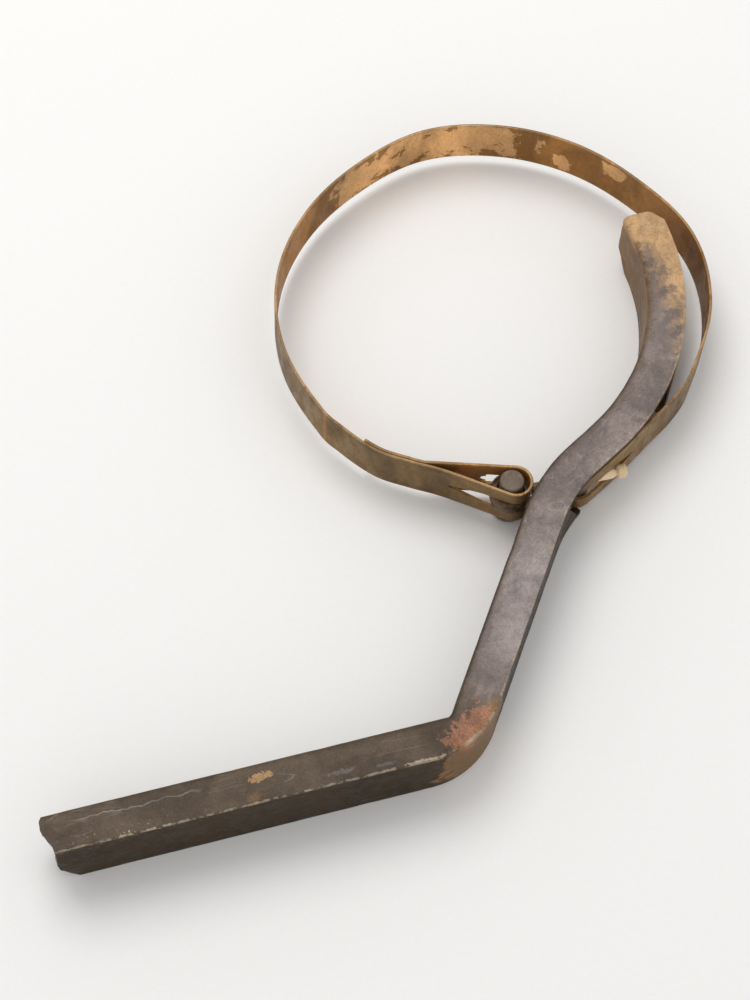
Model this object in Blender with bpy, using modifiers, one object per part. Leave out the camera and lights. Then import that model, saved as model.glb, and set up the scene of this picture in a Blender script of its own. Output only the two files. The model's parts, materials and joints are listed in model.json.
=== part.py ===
"""Band wrench for canister filters.

A thin steel strap is bent into a ring, and each of its ends is folded back into a loop. The left loop
holds a pin, the right loop holds a second pin under the handle, and a draw bolt joins the two pins. The
handle is a cranked steel channel, open at the back, that swings on the right pin. The wrench lies on its
back, with the ring's axis along +Z and the jaw of the handle towards +Y.
"""
import math

import bmesh
import bpy
from mathutils import Matrix, Vector

MM = 0.001

# Plan layout: everything is placed from the middle of the ring.
RING_CENTRE = Vector((19.809, 43.921)) * MM
LEFT_PIN = RING_CENTRE + Vector((5.4, -45.2)) * MM
BOLT_HEADING = math.radians(16.24)
PIN_SPACING = 15.73 * MM
BOLT_DIRECTION = Vector((math.cos(BOLT_HEADING), math.sin(BOLT_HEADING)))
RIGHT_PIN = LEFT_PIN + BOLT_DIRECTION * PIN_SPACING

# Heights above the table
HANDLE_DEPTH = 17.0 * MM
MID_HEIGHT = HANDLE_DEPTH / 2
WALL = 2.0 * MM
GAP = 0.3 * MM

# Strap
STRAP_WIDTH = 12.4 * MM
STRAP_THICKNESS = 0.65 * MM
LAYER_PITCH = STRAP_THICKNESS + 0.12 * MM
STRAP_BACK = MID_HEIGHT - STRAP_WIDTH / 2
STRAP_FRONT = MID_HEIGHT + STRAP_WIDTH / 2
RING_START_DEG = -15.0
RING_STEP_DEG = 21.0
RING_RADII = [r * MM for r in (48.0, 50.5, 51.7, 50.1, 50.2, 50.7, 51.4, 50.3, 50.5, 50.8, 50.0, 48.4)]
LEFT_RUN_IN = [Vector(p) * MM for p in ((-33.4, -34.0), (-25.2, -39.5), (-17.2, -41.9), (-9.4, -43.75))]
RIGHT_RUN_IN = [Vector(p) * MM for p in ((42.5, -20.3), (36.8, -27.4), (29.7, -36.2))]
LOOP_RADIUS = 3.58 * MM
LEFT_LOOP = LEFT_PIN + Vector((0.9, 0.0)) * MM
RIGHT_LOOP = RIGHT_PIN + Vector((0.05, -0.1)) * MM
LEFT_TAIL = (20.0 * MM, 35.5 * MM)
RIGHT_TAIL = (14.0 * MM, 21.0 * MM)
# Each layer's slot: half width, how far from the pin it stays wide, full reach, half width at its end
LEFT_INNER_SLOT = [v * MM for v in (2.2, 6.0, 7.5, 1.4)]
LEFT_OUTER_SLOT = [v * MM for v in (2.2, 6.0, 14.0, 0.5)]
RIGHT_INNER_SLOT = [v * MM for v in (2.05, 1.0, 4.5, 1.5)]
RIGHT_OUTER_SLOT = [v * MM for v in (2.05, 9.0, 14.5, 0.35)]

# Pins and draw bolt
PIN_RADIUS = 2.75 * MM
PIN_HEAD_RADIUS = 3.7 * MM
PIN_HEAD_THICKNESS = 1.0 * MM
SPIGOT_RADIUS = 1.9 * MM
POCKET_TOP = HANDLE_DEPTH - 0.8 * MM
EYE_RADIUS = 4.7 * MM
EYE_THICKNESS = 3.6 * MM
BOLT_RADIUS = 1.3 * MM
BOLT_NECK_RADIUS = 0.95 * MM
KNOB_RADIUS = 1.65 * MM
KNOB_START = 24.8 * MM
KNOB_LENGTH = 2.5 * MM

# Handle: straight runs and bends of its centre line, from the grip's end to the jaw's tip
HANDLE_LEFT = 4.7 * MM
HANDLE_RIGHT = 4.25 * MM
HANDLE_START = RING_CENTRE + Vector((-87.2, -134.8)) * MM
HANDLE_HEADING = math.radians(18.3)
GRIP_LENGTH = 80.9 * MM
ELBOW_RADIUS, ELBOW_TURN = 16.0 * MM, math.radians(55.5)
SHANK_LENGTH = 46.4 * MM
HIP_RADIUS, HIP_TURN = 36.7 * MM, math.radians(-25.8)
NECK_LENGTH = 8.1 * MM
JAW_RADIUS, JAW_TURN = 53.2 * MM, math.radians(67.0)
SHOULDER_ROUND = 1.6 * MM
BEND_STEP = math.radians(6.0)
END_PROFILE = [Vector(p) * MM for p in ((-1.5, 4.7), (-2.1, 3.1), (-2.1, 1.0), (-0.5, -2.0), (-0.2, -4.25))]
TIP_PROFILE = [Vector(p) * MM for p in ((-1.0, -4.25), (2.2, -2.0), (2.8, 1.0), (2.9, 4.7))]
CAP_REACH = 3.0 * MM
GRIP_CLIP = (4.8 * MM, 7.6 * MM)
TIP_CLIP = (5.0 * MM, 5.2 * MM)
RIGHT_NOTCH = (155.7 * MM, 188.0 * MM)
RIGHT_NOTCH_STEP = 1.5 * MM
RIGHT_NOTCH_SLANT = 6.0 * MM
LEFT_NOTCH = (147.5 * MM, 165.5 * MM)


def at_height(point, height):
    return Vector((point.x, point.y, height))


def direction(angle):
    return Vector((math.cos(angle), math.sin(angle)))


def left_of(vector):
    return Vector((-vector.y, vector.x))


# Scene and materials


def clear_scene():
    for obj in list(bpy.data.objects):
        bpy.data.objects.remove(obj, do_unlink=True)


def new_collection(name):
    collection = bpy.data.collections.new(name)
    bpy.context.scene.collection.children.link(collection)
    return collection


def metal(name, colour, roughness, metallic):
    material = bpy.data.materials.new(name)
    material.use_nodes = True
    shader = material.node_tree.nodes["Principled BSDF"]
    shader.inputs["Base Color"].default_value = (*colour, 1.0)
    shader.inputs["Roughness"].default_value = roughness
    shader.inputs["Metallic"].default_value = metallic
    return material


# Solids


def place_mesh(name, mesh, matrix, collection):
    obj = bpy.data.objects.new(name, mesh)
    obj.matrix_world = matrix
    collection.objects.link(obj)
    return obj


def flat_solid(name, loops, low, high, collection, matrix=None):
    """A flat outline, given as closed loops of points, made solid between two heights."""
    curve = bpy.data.curves.new(name, "CURVE")
    curve.dimensions = "2D"
    curve.fill_mode = "BOTH"
    curve.extrude = (high - low) / 2
    for loop in loops:
        spline = curve.splines.new("POLY")
        spline.points.add(len(loop) - 1)
        for point, place in zip(spline.points, loop):
            point.co = (place.x, place.y, 0.0, 1.0)
        spline.use_cyclic_u = True
    outline = bpy.data.objects.new(name + "_outline", curve)
    collection.objects.link(outline)
    outline.matrix_world = (matrix or Matrix.Identity(4)) @ Matrix.Translation((0, 0, (low + high) / 2))
    bpy.context.view_layer.update()
    evaluated = outline.evaluated_get(bpy.context.evaluated_depsgraph_get())
    mesh = bpy.data.meshes.new_from_object(evaluated)
    mesh.name = name
    shape = bmesh.new()
    shape.from_mesh(mesh)
    bmesh.ops.remove_doubles(shape, verts=shape.verts, dist=1e-6)
    bmesh.ops.recalc_face_normals(shape, faces=shape.faces)
    shape.to_mesh(mesh)
    shape.free()
    solid = place_mesh(name, mesh, outline.matrix_world.copy(), collection)
    bpy.data.objects.remove(outline, do_unlink=True)
    return solid


def turned_solid(name, profile, segments, collection, matrix):
    """A profile of (radius, height) pairs, listed from the top down, turned about its own Z axis."""
    mesh = bpy.data.meshes.new(name)
    shape = bmesh.new()
    corners = [shape.verts.new((radius, 0.0, height)) for radius, height in profile]
    for upper, lower in zip(corners, corners[1:]):
        shape.edges.new((upper, lower))
    shape.to_mesh(mesh)
    shape.free()
    solid = place_mesh(name, mesh, matrix, collection)
    screw = solid.modifiers.new("Turn", "SCREW")
    screw.steps = segments
    screw.render_steps = segments
    screw.use_merge_vertices = True
    screw.merge_threshold = 1e-6
    return solid


def boolean(solid, tool, operation):
    modifier = solid.modifiers.new(operation.title() + "_" + tool.name, "BOOLEAN")
    modifier.operation = operation
    modifier.object = tool
    modifier.solver = "EXACT"


def as_cutter(solid):
    solid.hide_render = True
    solid.display_type = "WIRE"
    return solid


def bake(solid):
    """Turn a solid with modifiers into a plain mesh."""
    bpy.context.view_layer.update()
    evaluated = solid.evaluated_get(bpy.context.evaluated_depsgraph_get())
    mesh = bpy.data.meshes.new_from_object(evaluated)
    solid.modifiers.clear()
    solid.data = mesh


def finish(solid, material, pivot, smooth_angle=30.0):
    """Give a finished solid its material, and put its origin on its axis."""
    bake(solid)
    origin = at_height(pivot, MID_HEIGHT)
    solid.data.transform(Matrix.Translation(-origin) @ solid.matrix_world)
    solid.matrix_world = Matrix.Translation(origin)
    solid.data.materials.clear()
    solid.data.materials.append(material)
    solid.data.shade_smooth()
    solid.data.set_sharp_from_angle(angle=math.radians(smooth_angle))


# Strap


def ring_radius(angle_deg):
    """Radius of the hand-bent ring, smooth through the values of RING_RADII."""
    place = (angle_deg - RING_START_DEG) / RING_STEP_DEG
    index = min(max(int(math.floor(place)), 0), len(RING_RADII) - 2)
    t = place - index
    last = len(RING_RADII) - 1
    r0, r1, r2, r3 = (RING_RADII[min(max(index + k, 0), last)] for k in (-1, 0, 1, 2))
    return 0.5 * (2 * r1 + (r2 - r0) * t + (2 * r0 - 5 * r1 + 4 * r2 - r3) * t**2
                  + (3 * r1 - 3 * r2 + r3 - r0) * t**3)


def smooth_through(points, steps):
    """Points along a smooth curve through the given ones, without the first and last spans."""
    result = []
    for p0, p1, p2, p3 in zip(points, points[1:], points[2:], points[3:]):
        for k in range(steps):
            t = k / steps
            result.append(0.5 * (2 * p1 + (p2 - p0) * t + (2 * p0 - 5 * p1 + 4 * p2 - p3) * t**2
                                 + (3 * p1 - 3 * p2 + p3 - p0) * t**3))
    result.append(points[-2])
    return result


def tangent_angle(centre, point, side):
    """Where a line from the point touches a loop, as an angle about the loop's centre."""
    reach = point - centre
    return math.atan2(reach.y, reach.x) + side * math.acos(LOOP_RADIUS / reach.length)


def arc(centre, radius, start, end, step):
    count = max(2, math.ceil(abs(end - start) / step))
    return [centre + direction(start + (end - start) * k / count) * radius for k in range(count + 1)]


def outer_layer():
    """Centre line of the strap's long outer layer, from the left loop round to the right loop."""
    last = RING_START_DEG + RING_STEP_DEG * (len(RING_RADII) - 1)
    count = 66
    angles = [last + (RING_START_DEG - last) * k / count for k in range(count + 1)]
    ring = [direction(math.radians(a)) * ring_radius(a) for a in angles]
    left_touch = LEFT_LOOP - RING_CENTRE
    left_touch = left_touch + direction(tangent_angle(left_touch, LEFT_RUN_IN[-1], 1)) * LOOP_RADIUS
    right_touch = RIGHT_LOOP - RING_CENTRE
    right_touch = right_touch + direction(tangent_angle(right_touch, RIGHT_RUN_IN[-1], -1)) * LOOP_RADIUS
    left = [2 * left_touch - LEFT_RUN_IN[-1], left_touch, *reversed(LEFT_RUN_IN), ring[0], ring[6]]
    right = [ring[-7], ring[-1], *RIGHT_RUN_IN, right_touch, 2 * right_touch - RIGHT_RUN_IN[-1]]
    path = smooth_through(left, 5) + ring[1:-1] + smooth_through(right, 5)
    return [RING_CENTRE + point for point in path]


def tail(path, side, start, end):
    """Centre line of a folded-back end: beside a stretch of the outer layer's path."""
    travelled = 0.0
    points = []
    for here, there in zip(path, path[1:]):
        travelled += (there - here).length
        if start <= travelled <= end:
            along = (there - here).normalized()
            points.append(there + left_of(along) * side * LAYER_PITCH)
    return points


def strap_centre_line():
    outer = outer_layer()
    left_tail = tail(outer, -1, *LEFT_TAIL)
    right_tail = tail(outer[::-1], 1, *RIGHT_TAIL)
    left_loop = nose(LEFT_LOOP, tangent_angle(LEFT_LOOP, left_tail[0], -1),
                     tangent_angle(LEFT_LOOP, outer[1], 1))
    right_loop = nose(RIGHT_LOOP, tangent_angle(RIGHT_LOOP, outer[-2], -1),
                      tangent_angle(RIGHT_LOOP, right_tail[0], 1))
    return left_tail[::-1] + left_loop[:-1] + outer + right_loop[1:] + right_tail


def nose(centre, start, end):
    """The strap's bend round a pin, clockwise between two angles."""
    return arc(centre, LOOP_RADIUS, start, start - (start - end) % (2 * math.pi), math.radians(15))


def slot_cutter(name, pin, heading, slot, side, collection):
    """A tapered slot at mid width, from past the loop's nose back along the layer on one side.

    The heading runs from the pin back along the strap, and side +1 is the layer to its right.
    """
    half, wide_reach, reach, end_half = slot
    start = -(LOOP_RADIUS + 3 * MM)
    back_end = arc(Vector((reach - end_half, 0)), end_half, -math.pi / 2, math.pi / 2, math.radians(30))
    loop = [Vector((start, -half)), Vector((wide_reach, -half)), *back_end,
            Vector((wide_reach, half)), Vector((start, half))]
    upright = Matrix.Rotation(heading, 4, "Z") @ Matrix.Rotation(math.pi / 2, 4, "X")
    place = Matrix.Translation(at_height(pin, MID_HEIGHT)) @ upright
    across = LOOP_RADIUS + 3 * MM
    low, high = sorted((-side * GAP, side * across))
    return as_cutter(flat_solid(name, [loop], low, high, collection, place))


def make_band(parts, cutters, material):
    path = strap_centre_line()
    mesh = bpy.data.meshes.new("band")
    shape = bmesh.new()
    back = [shape.verts.new(at_height(point, STRAP_BACK)) for point in path]
    front = [shape.verts.new(at_height(point, STRAP_FRONT)) for point in path]
    for k in range(len(path) - 1):
        shape.faces.new((back[k], back[k + 1], front[k + 1], front[k]))
    shape.to_mesh(mesh)
    shape.free()
    band = place_mesh("band", mesh, Matrix.Identity(4), parts)
    solidify = band.modifiers.new("Gauge", "SOLIDIFY")
    solidify.thickness = STRAP_THICKNESS
    solidify.offset = 0.0
    solidify.use_even_offset = True
    left, right = math.radians(172), math.radians(41)
    tools = [slot_cutter("left_inner_slot", LEFT_PIN, left, LEFT_INNER_SLOT, 1, cutters),
             slot_cutter("left_outer_slot", LEFT_PIN, left, LEFT_OUTER_SLOT, -1, cutters),
             slot_cutter("right_outer_slot", RIGHT_PIN, right, RIGHT_OUTER_SLOT, 1, cutters),
             slot_cutter("right_inner_slot", RIGHT_PIN, right, RIGHT_INNER_SLOT, -1, cutters)]
    for tool in tools:
        boolean(band, tool, "DIFFERENCE")
    finish(band, material, RING_CENTRE)
    return band


# Pins and draw bolt


def make_left_pin(parts, material):
    back = STRAP_BACK - GAP
    profile = [(0.0, STRAP_FRONT + 0.2 * MM), (PIN_RADIUS - 0.3 * MM, STRAP_FRONT + 0.2 * MM),
               (PIN_RADIUS, STRAP_FRONT - 0.1 * MM), (PIN_RADIUS, back), (PIN_HEAD_RADIUS, back),
               (PIN_HEAD_RADIUS, back - PIN_HEAD_THICKNESS + 0.3 * MM),
               (PIN_HEAD_RADIUS - 0.3 * MM, back - PIN_HEAD_THICKNESS), (0.0, back - PIN_HEAD_THICKNESS)]
    pin = turned_solid("left_pin", profile, 40, parts, Matrix.Translation(at_height(LEFT_PIN, 0)))
    finish(pin, material, LEFT_PIN)
    return pin


def make_right_pin(parts, cutters, material):
    back = STRAP_BACK - GAP
    top = POCKET_TOP - GAP
    profile = [(0.0, top), (SPIGOT_RADIUS, top), (SPIGOT_RADIUS, STRAP_FRONT), (PIN_RADIUS, STRAP_FRONT),
               (PIN_RADIUS, back), (PIN_RADIUS - 0.4 * MM, back - 0.4 * MM), (0.0, back - 0.4 * MM)]
    pin = turned_solid("right_pin", profile, 40, parts, Matrix.Translation(at_height(RIGHT_PIN, 0)))
    reach = 2 * PIN_RADIUS
    hole = [(0.0, reach), (BOLT_RADIUS + GAP, reach), (BOLT_RADIUS + GAP, -reach), (0.0, -reach)]
    place = Matrix.Translation(at_height(RIGHT_PIN, MID_HEIGHT)) @ bolt_axis()
    boolean(pin, as_cutter(turned_solid("bolt_hole", hole, 24, cutters, place)), "DIFFERENCE")
    finish(pin, material, RIGHT_PIN)
    return pin


def bolt_axis():
    """Turns +Z to lie along the draw bolt."""
    return Matrix.Rotation(BOLT_HEADING, 4, "Z") @ Matrix.Rotation(math.pi / 2, 4, "Y")


def make_draw_bolt(parts, cutters, material):
    low, high = MID_HEIGHT - EYE_THICKNESS / 2, MID_HEIGHT + EYE_THICKNESS / 2
    step = math.radians(12)
    rim = arc(LEFT_PIN, EYE_RADIUS, 0.0, 2 * math.pi, step)[:-1]
    hole = arc(LEFT_PIN, PIN_RADIUS + GAP, 0.0, 2 * math.pi, step)[:-1]
    bolt = flat_solid("draw_bolt", [rim, hole], low, high, parts)
    root = EYE_RADIUS - 1.0 * MM
    knob_end = KNOB_START + KNOB_LENGTH
    corner = 0.6 * MM
    profile = [(0.0, knob_end), (KNOB_RADIUS - corner, knob_end), (KNOB_RADIUS, knob_end - corner),
               (KNOB_RADIUS, KNOB_START + corner), (KNOB_RADIUS - corner, KNOB_START),
               (BOLT_NECK_RADIUS, KNOB_START), (BOLT_NECK_RADIUS, KNOB_START - 0.4 * MM),
               (BOLT_RADIUS, KNOB_START - 0.8 * MM), (BOLT_RADIUS, root), (0.0, root)]
    place = Matrix.Translation(at_height(LEFT_PIN, MID_HEIGHT)) @ bolt_axis()
    boolean(bolt, as_cutter(turned_solid("bolt_shank", profile, 24, cutters, place)), "UNION")
    finish(bolt, material, LEFT_PIN)
    return bolt


# Handle


def handle_line():
    """Centre line of the handle: (distance, point, heading) from the grip's end to the jaw's tip."""
    runs = ((GRIP_LENGTH, 0.0), (ELBOW_RADIUS, ELBOW_TURN), (SHANK_LENGTH, 0.0), (HIP_RADIUS, HIP_TURN),
            (NECK_LENGTH, 0.0), (JAW_RADIUS, JAW_TURN))
    place, heading, distance = HANDLE_START, HANDLE_HEADING, 0.0
    line = [(distance, place, heading)]
    for size, turn in runs:
        if turn == 0.0:
            place = place + direction(heading) * size
            distance += size
            line.append((distance, place, heading))
            continue
        side = math.copysign(1.0, turn)
        centre = place + left_of(direction(heading)) * side * size
        count = math.ceil(abs(turn) / BEND_STEP)
        for k in range(1, count + 1):
            angle = heading + turn * k / count
            point = centre - left_of(direction(angle)) * side * size
            line.append((distance + abs(turn) * size * k / count, point, angle))
        place, heading, distance = line[-1][1], heading + turn, line[-1][0]
    return line


def handle_place(distance):
    """Point and heading on the centre line, also a little beyond its ends."""
    line = handle_line()
    if distance <= 0.0:
        return line[0][1] + direction(line[0][2]) * distance, line[0][2]
    for (d0, p0, h0), (d1, p1, h1) in zip(line, line[1:]):
        if distance <= d1:
            t = (distance - d0) / (d1 - d0)
            return p0.lerp(p1, t), h0 + (h1 - h0) * t
    return line[-1][1] + direction(line[-1][2]) * (distance - line[-1][0]), line[-1][2]


def handle_length():
    return handle_line()[-1][0]


def side_line(start, end, offset):
    """Points that follow the handle between two distances, at a sideways offset (left is positive)."""
    inside = [d for d, _, _ in handle_line() if start + 0.5 * MM < d < end - 0.5 * MM]
    points = []
    for distance in (start, *inside, end):
        point, heading = handle_place(distance)
        points.append(point + left_of(direction(heading)) * inside_corner(distance, offset))
    return points


def inside_corner(distance, offset):
    """The offset at the elbow, whose inside is a sharp corner: both straight sides run on to meet."""
    turned = (distance - GRIP_LENGTH) / ELBOW_RADIUS
    if offset <= 0.0 or not 0.0 < turned < ELBOW_TURN:
        return offset
    return ELBOW_RADIUS - (ELBOW_RADIUS - offset) / math.cos(min(turned, ELBOW_TURN - turned))


def channel_outline():
    """Plan of the hollow under the handle's face, with a notch out through each flange at the pivot."""
    past = 8 * MM
    sides = []
    for (low, high), flank in ((RIGHT_NOTCH, -HANDLE_RIGHT), (LEFT_NOTCH, HANDLE_LEFT)):
        inner = flank - math.copysign(WALL, flank)
        side = (side_line(-past, low, inner) + side_line(low, high, 2 * flank)
                + side_line(high, handle_length() + past, inner))
        sides.append(side)
    return sides[0] + sides[1][::-1]


def cap_points(distance, profile):
    """The outline of one end of the handle, from (along, left) pairs."""
    end, heading = handle_place(distance)
    along = direction(heading)
    return [end + along * p.x + left_of(along) * p.y for p in profile]


def left_edge():
    """The outline's left side, from the grip's corner to the tip's corner."""
    grip_corner = cap_points(0.0, END_PROFILE[:1])
    tip_corner = cap_points(handle_length(), TIP_PROFILE[-1:])
    return grip_corner + side_line(CAP_REACH, handle_length() - CAP_REACH, HANDLE_LEFT) + tip_corner


def handle_outline():
    right = side_line(CAP_REACH, handle_length() - CAP_REACH, -HANDLE_RIGHT)
    tip_cap = cap_points(handle_length(), TIP_PROFILE[:-1])
    end_cap = cap_points(0.0, END_PROFILE[1:])
    return right + tip_cap + left_edge()[::-1] + end_cap


def round_left_shoulder(solid):
    """Mark the front edge on the left side of the handle, and round it."""
    mesh = solid.data
    corners = left_edge()
    weights = mesh.attributes.new("bevel_weight_edge", "FLOAT", "EDGE")
    for edge in mesh.edges:
        ends = [mesh.vertices[index].co for index in edge.vertices]
        marked = all(end.z > HANDLE_DEPTH - GAP and min((end.xy - c).length for c in corners) < 0.1 * GAP
                     for end in ends)
        weights.data[edge.index].value = 1.0 if marked else 0.0
    bevel = solid.modifiers.new("Shoulder", "BEVEL")
    bevel.limit_method = "WEIGHT"
    bevel.width = SHOULDER_ROUND
    bevel.segments = 3
    bevel.use_clamp_overlap = True


def clip_cutter(name, distance, clip, inwards, collection):
    """A wedge that clips the back corners of both flanges at one end: (length, height) of the corner."""
    point, heading = handle_place(distance)
    length, height = clip
    reach = 6 * MM
    slope = length / height
    wedge = [Vector((inwards * (length + slope * reach), -reach)),
             Vector((-inwards * slope * reach, height + reach)), Vector((-inwards * reach, -reach))]
    upright = Matrix.Rotation(heading, 4, "Z") @ Matrix.Rotation(math.pi / 2, 4, "X")
    place = Matrix.Translation(at_height(point, 0.0)) @ upright
    return as_cutter(flat_solid(name, [wedge], -2 * HANDLE_LEFT, 2 * HANDLE_RIGHT, collection, place))


def slant_cutter(collection):
    """The right flange's notch from the strap's back upwards: a step back, then a slope up into the face."""
    point, heading = handle_place(RIGHT_NOTCH[0])
    bottom, top = STRAP_BACK - GAP, HANDLE_DEPTH - WALL + GAP
    wedge = [Vector((0.5 * MM, bottom)), Vector((0.5 * MM, top)),
             Vector((-RIGHT_NOTCH_STEP - RIGHT_NOTCH_SLANT, top)), Vector((-RIGHT_NOTCH_STEP, bottom))]
    upright = Matrix.Rotation(heading, 4, "Z") @ Matrix.Rotation(math.pi / 2, 4, "X")
    place = Matrix.Translation(at_height(point, 0.0)) @ upright
    return as_cutter(flat_solid("notch_slant", [wedge], 1.0 * MM, 2 * HANDLE_RIGHT, collection, place))


def make_handle(parts, cutters, material):
    handle = flat_solid("handle", [handle_outline()], 0.0, HANDLE_DEPTH, parts)
    handle.data.transform(handle.matrix_world)
    handle.matrix_world = Matrix.Identity(4)
    round_left_shoulder(handle)
    pocket = arc(RIGHT_PIN, SPIGOT_RADIUS + GAP, 0.0, 2 * math.pi, math.radians(12))[:-1]
    under_face, past = HANDLE_DEPTH - WALL, 2 * MM
    tools = [as_cutter(flat_solid("pivot_pocket", [pocket], under_face - past, POCKET_TOP, cutters)),
             as_cutter(flat_solid("channel", [channel_outline()], -past, under_face, cutters)),
             slant_cutter(cutters),
             clip_cutter("grip_clip", -1.0 * MM, GRIP_CLIP, 1, cutters),
             clip_cutter("tip_clip", handle_length() + TIP_PROFILE[-1].x, TIP_CLIP, -1, cutters)]
    for tool in tools:
        boolean(handle, tool, "DIFFERENCE")
        handle.modifiers.new("Flat_faces_" + tool.name, "TRIANGULATE")
    finish(handle, material, RIGHT_PIN)
    return handle


def keep_in_place(child, parent):
    child.parent = parent
    child.matrix_parent_inverse = parent.matrix_world.inverted()


def main():
    clear_scene()
    parts = new_collection("band_wrench")
    cutters = new_collection("cutters")
    dark_steel = metal("dark_steel", (0.16, 0.13, 0.11), 0.45, 0.6)
    strap_steel = metal("strap_steel", (0.14, 0.1, 0.06), 0.45, 0.7)
    bare_steel = metal("bare_steel", (0.5, 0.37, 0.22), 0.35, 0.9)
    pin_steel = metal("pin_steel", (0.22, 0.19, 0.16), 0.4, 0.8)
    band = make_band(parts, cutters, strap_steel)
    left_pin = make_left_pin(parts, pin_steel)
    draw_bolt = make_draw_bolt(parts, cutters, bare_steel)
    right_pin = make_right_pin(parts, cutters, pin_steel)
    handle = make_handle(parts, cutters, dark_steel)
    bpy.context.view_layer.update()
    for child, parent in ((left_pin, band), (draw_bolt, band), (right_pin, draw_bolt), (handle, right_pin)):
        keep_in_place(child, parent)
    for cutter in list(cutters.objects):
        cutter.hide_viewport = True


main()
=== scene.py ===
"""Looks of the band wrench: a worn steel channel handle, a tarnished strap ring, two pins and a draw bolt."""
import json
import math
from types import SimpleNamespace

import bmesh
import bpy
import numpy as np
from bpy.props import FloatProperty, FloatVectorProperty, IntProperty, PointerProperty
from mathutils import Matrix, Vector, noise


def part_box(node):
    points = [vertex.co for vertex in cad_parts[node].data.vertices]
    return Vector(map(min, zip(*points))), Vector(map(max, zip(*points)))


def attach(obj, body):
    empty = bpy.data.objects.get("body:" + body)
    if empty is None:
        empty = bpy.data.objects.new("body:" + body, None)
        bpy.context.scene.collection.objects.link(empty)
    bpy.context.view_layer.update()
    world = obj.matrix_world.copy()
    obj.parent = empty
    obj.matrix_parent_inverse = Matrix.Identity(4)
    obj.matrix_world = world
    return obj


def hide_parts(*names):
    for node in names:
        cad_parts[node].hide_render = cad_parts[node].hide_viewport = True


bl_info = {
    "name": "Band Wrench",
    "version": (1, 0, 0),
    "blender": (4, 5, 0),
    "location": "3D View > Sidebar > Band Wrench",
    "description": "Builds the worn looks of a band wrench around its packed frame",
    "category": "Object",
}

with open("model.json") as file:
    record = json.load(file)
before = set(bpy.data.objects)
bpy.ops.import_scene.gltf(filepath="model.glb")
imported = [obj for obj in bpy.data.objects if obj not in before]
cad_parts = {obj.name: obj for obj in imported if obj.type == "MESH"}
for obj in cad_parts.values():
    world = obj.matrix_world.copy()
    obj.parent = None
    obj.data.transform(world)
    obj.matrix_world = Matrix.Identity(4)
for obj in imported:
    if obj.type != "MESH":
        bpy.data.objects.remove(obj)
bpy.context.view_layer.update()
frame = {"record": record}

MM = 0.001
JOINTS = {joint["name"]: Vector(joint["pos_m"]) for joint in frame["record"]["behaviour"]["joints"]}
LEFT_PIN = JOINTS["link_pivot"].xy
RIGHT_PIN = JOINTS["handle_pivot"].xy
RING_CENTRE = LEFT_PIN - Vector((5.4, -45.2)) * MM
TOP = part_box("handle")[1][2]
MID_HEIGHT = TOP / 2
GAP = 0.3 * MM

# Strap: the run of its centre line, as the solid has it
LAYER_PITCH = 0.77 * MM
RING_START_DEG = -15.0
RING_STEP_DEG = 21.0
RING_RADII = [r * MM for r in (48.0, 50.5, 51.7, 50.1, 50.2, 50.7, 51.4, 50.3, 50.5, 50.8, 50.0, 48.4)]
LEFT_RUN_IN = [Vector(p) * MM for p in ((-33.4, -34.0), (-25.2, -39.5), (-17.2, -41.9), (-9.4, -43.75))]
RIGHT_RUN_IN = [Vector(p) * MM for p in ((42.5, -20.3), (36.8, -27.4), (29.7, -36.2))]
LOOP_RADIUS = 3.58 * MM
LEFT_LOOP = LEFT_PIN + Vector((0.9, 0.0)) * MM
RIGHT_LOOP = RIGHT_PIN + Vector((0.05, -0.1)) * MM
LEFT_TAIL = (20.0 * MM, 35.5 * MM)
RIGHT_TAIL = (14.0 * MM, 21.0 * MM)

# Each layer's slot: half width, how far from the pin it stays wide, full reach, half width at its end
LEFT_HEADING, RIGHT_HEADING = math.radians(172), math.radians(41)
LEFT_INNER_SLOT = [v * MM for v in (2.2, 6.0, 7.5, 1.4)]
LEFT_OUTER_SLOT = [v * MM for v in (2.2, 6.0, 14.0, 0.5)]
RIGHT_INNER_SLOT = [v * MM for v in (2.05, 1.0, 4.5, 1.5)]
RIGHT_OUTER_SLOT = [v * MM for v in (2.05, 9.0, 14.5, 0.35)]

# Handle: straight runs and bends of its centre line, as the solid has them
HANDLE_START = RING_CENTRE + Vector((-87.2, -134.8)) * MM
HANDLE_HEADING = math.radians(18.3)
HANDLE_RUNS = [(80.9, 0.0), (16.0, 55.5), (46.4, 0.0), (36.7, -25.8), (8.1, 0.0), (53.2, 67.0)]
# The worn ends: (across, how far past the line's end), and (length, height) of the clipped back corners
END_PROFILE = [(-4.25, -0.2), (-2.0, -0.5), (1.0, -2.1), (3.1, -2.1), (4.7, -1.5)]
TIP_PROFILE = [(-4.25, -1.0), (-2.0, 2.2), (1.0, 2.8), (3.9, 3.0), (4.7, 2.6)]
GRIP_CLIP = (4.8, 7.6)
TIP_CLIP = (5.0, 5.2)
RIGHT_NOTCH = (155.7 * MM, 188.0 * MM)
RIGHT_NOTCH_STEP = 1.5 * MM
RIGHT_NOTCH_SLANT = 6.0 * MM
LEFT_NOTCH = (147.5 * MM, 165.5 * MM)
SHOULDER_STEPS = 8
WORN_END = 7 * MM
PIVOT_POCKET_RADIUS = 2.2 * MM
PIVOT_POCKET_TOP = TOP - 0.8 * MM

# Pins and draw bolt, as the solids have them
PIN_HEAD_THICKNESS = 1.0 * MM
SPIGOT_RADIUS = 1.9 * MM
EYE_THICKNESS = 3.6 * MM

# Camera: its place over the ring's centre, its turn, and its lens
CAMERA_OFFSET = Vector((-24.89, -300.27, 493.33)) * MM
CAMERA_ELEVATION = math.radians(63.007)
CAMERA_ROLL = math.radians(3.417)
CAMERA_LENS_MM = 88.74
CAMERA_SENSOR_MM = 36.0


# Settings that a user would change


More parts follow.
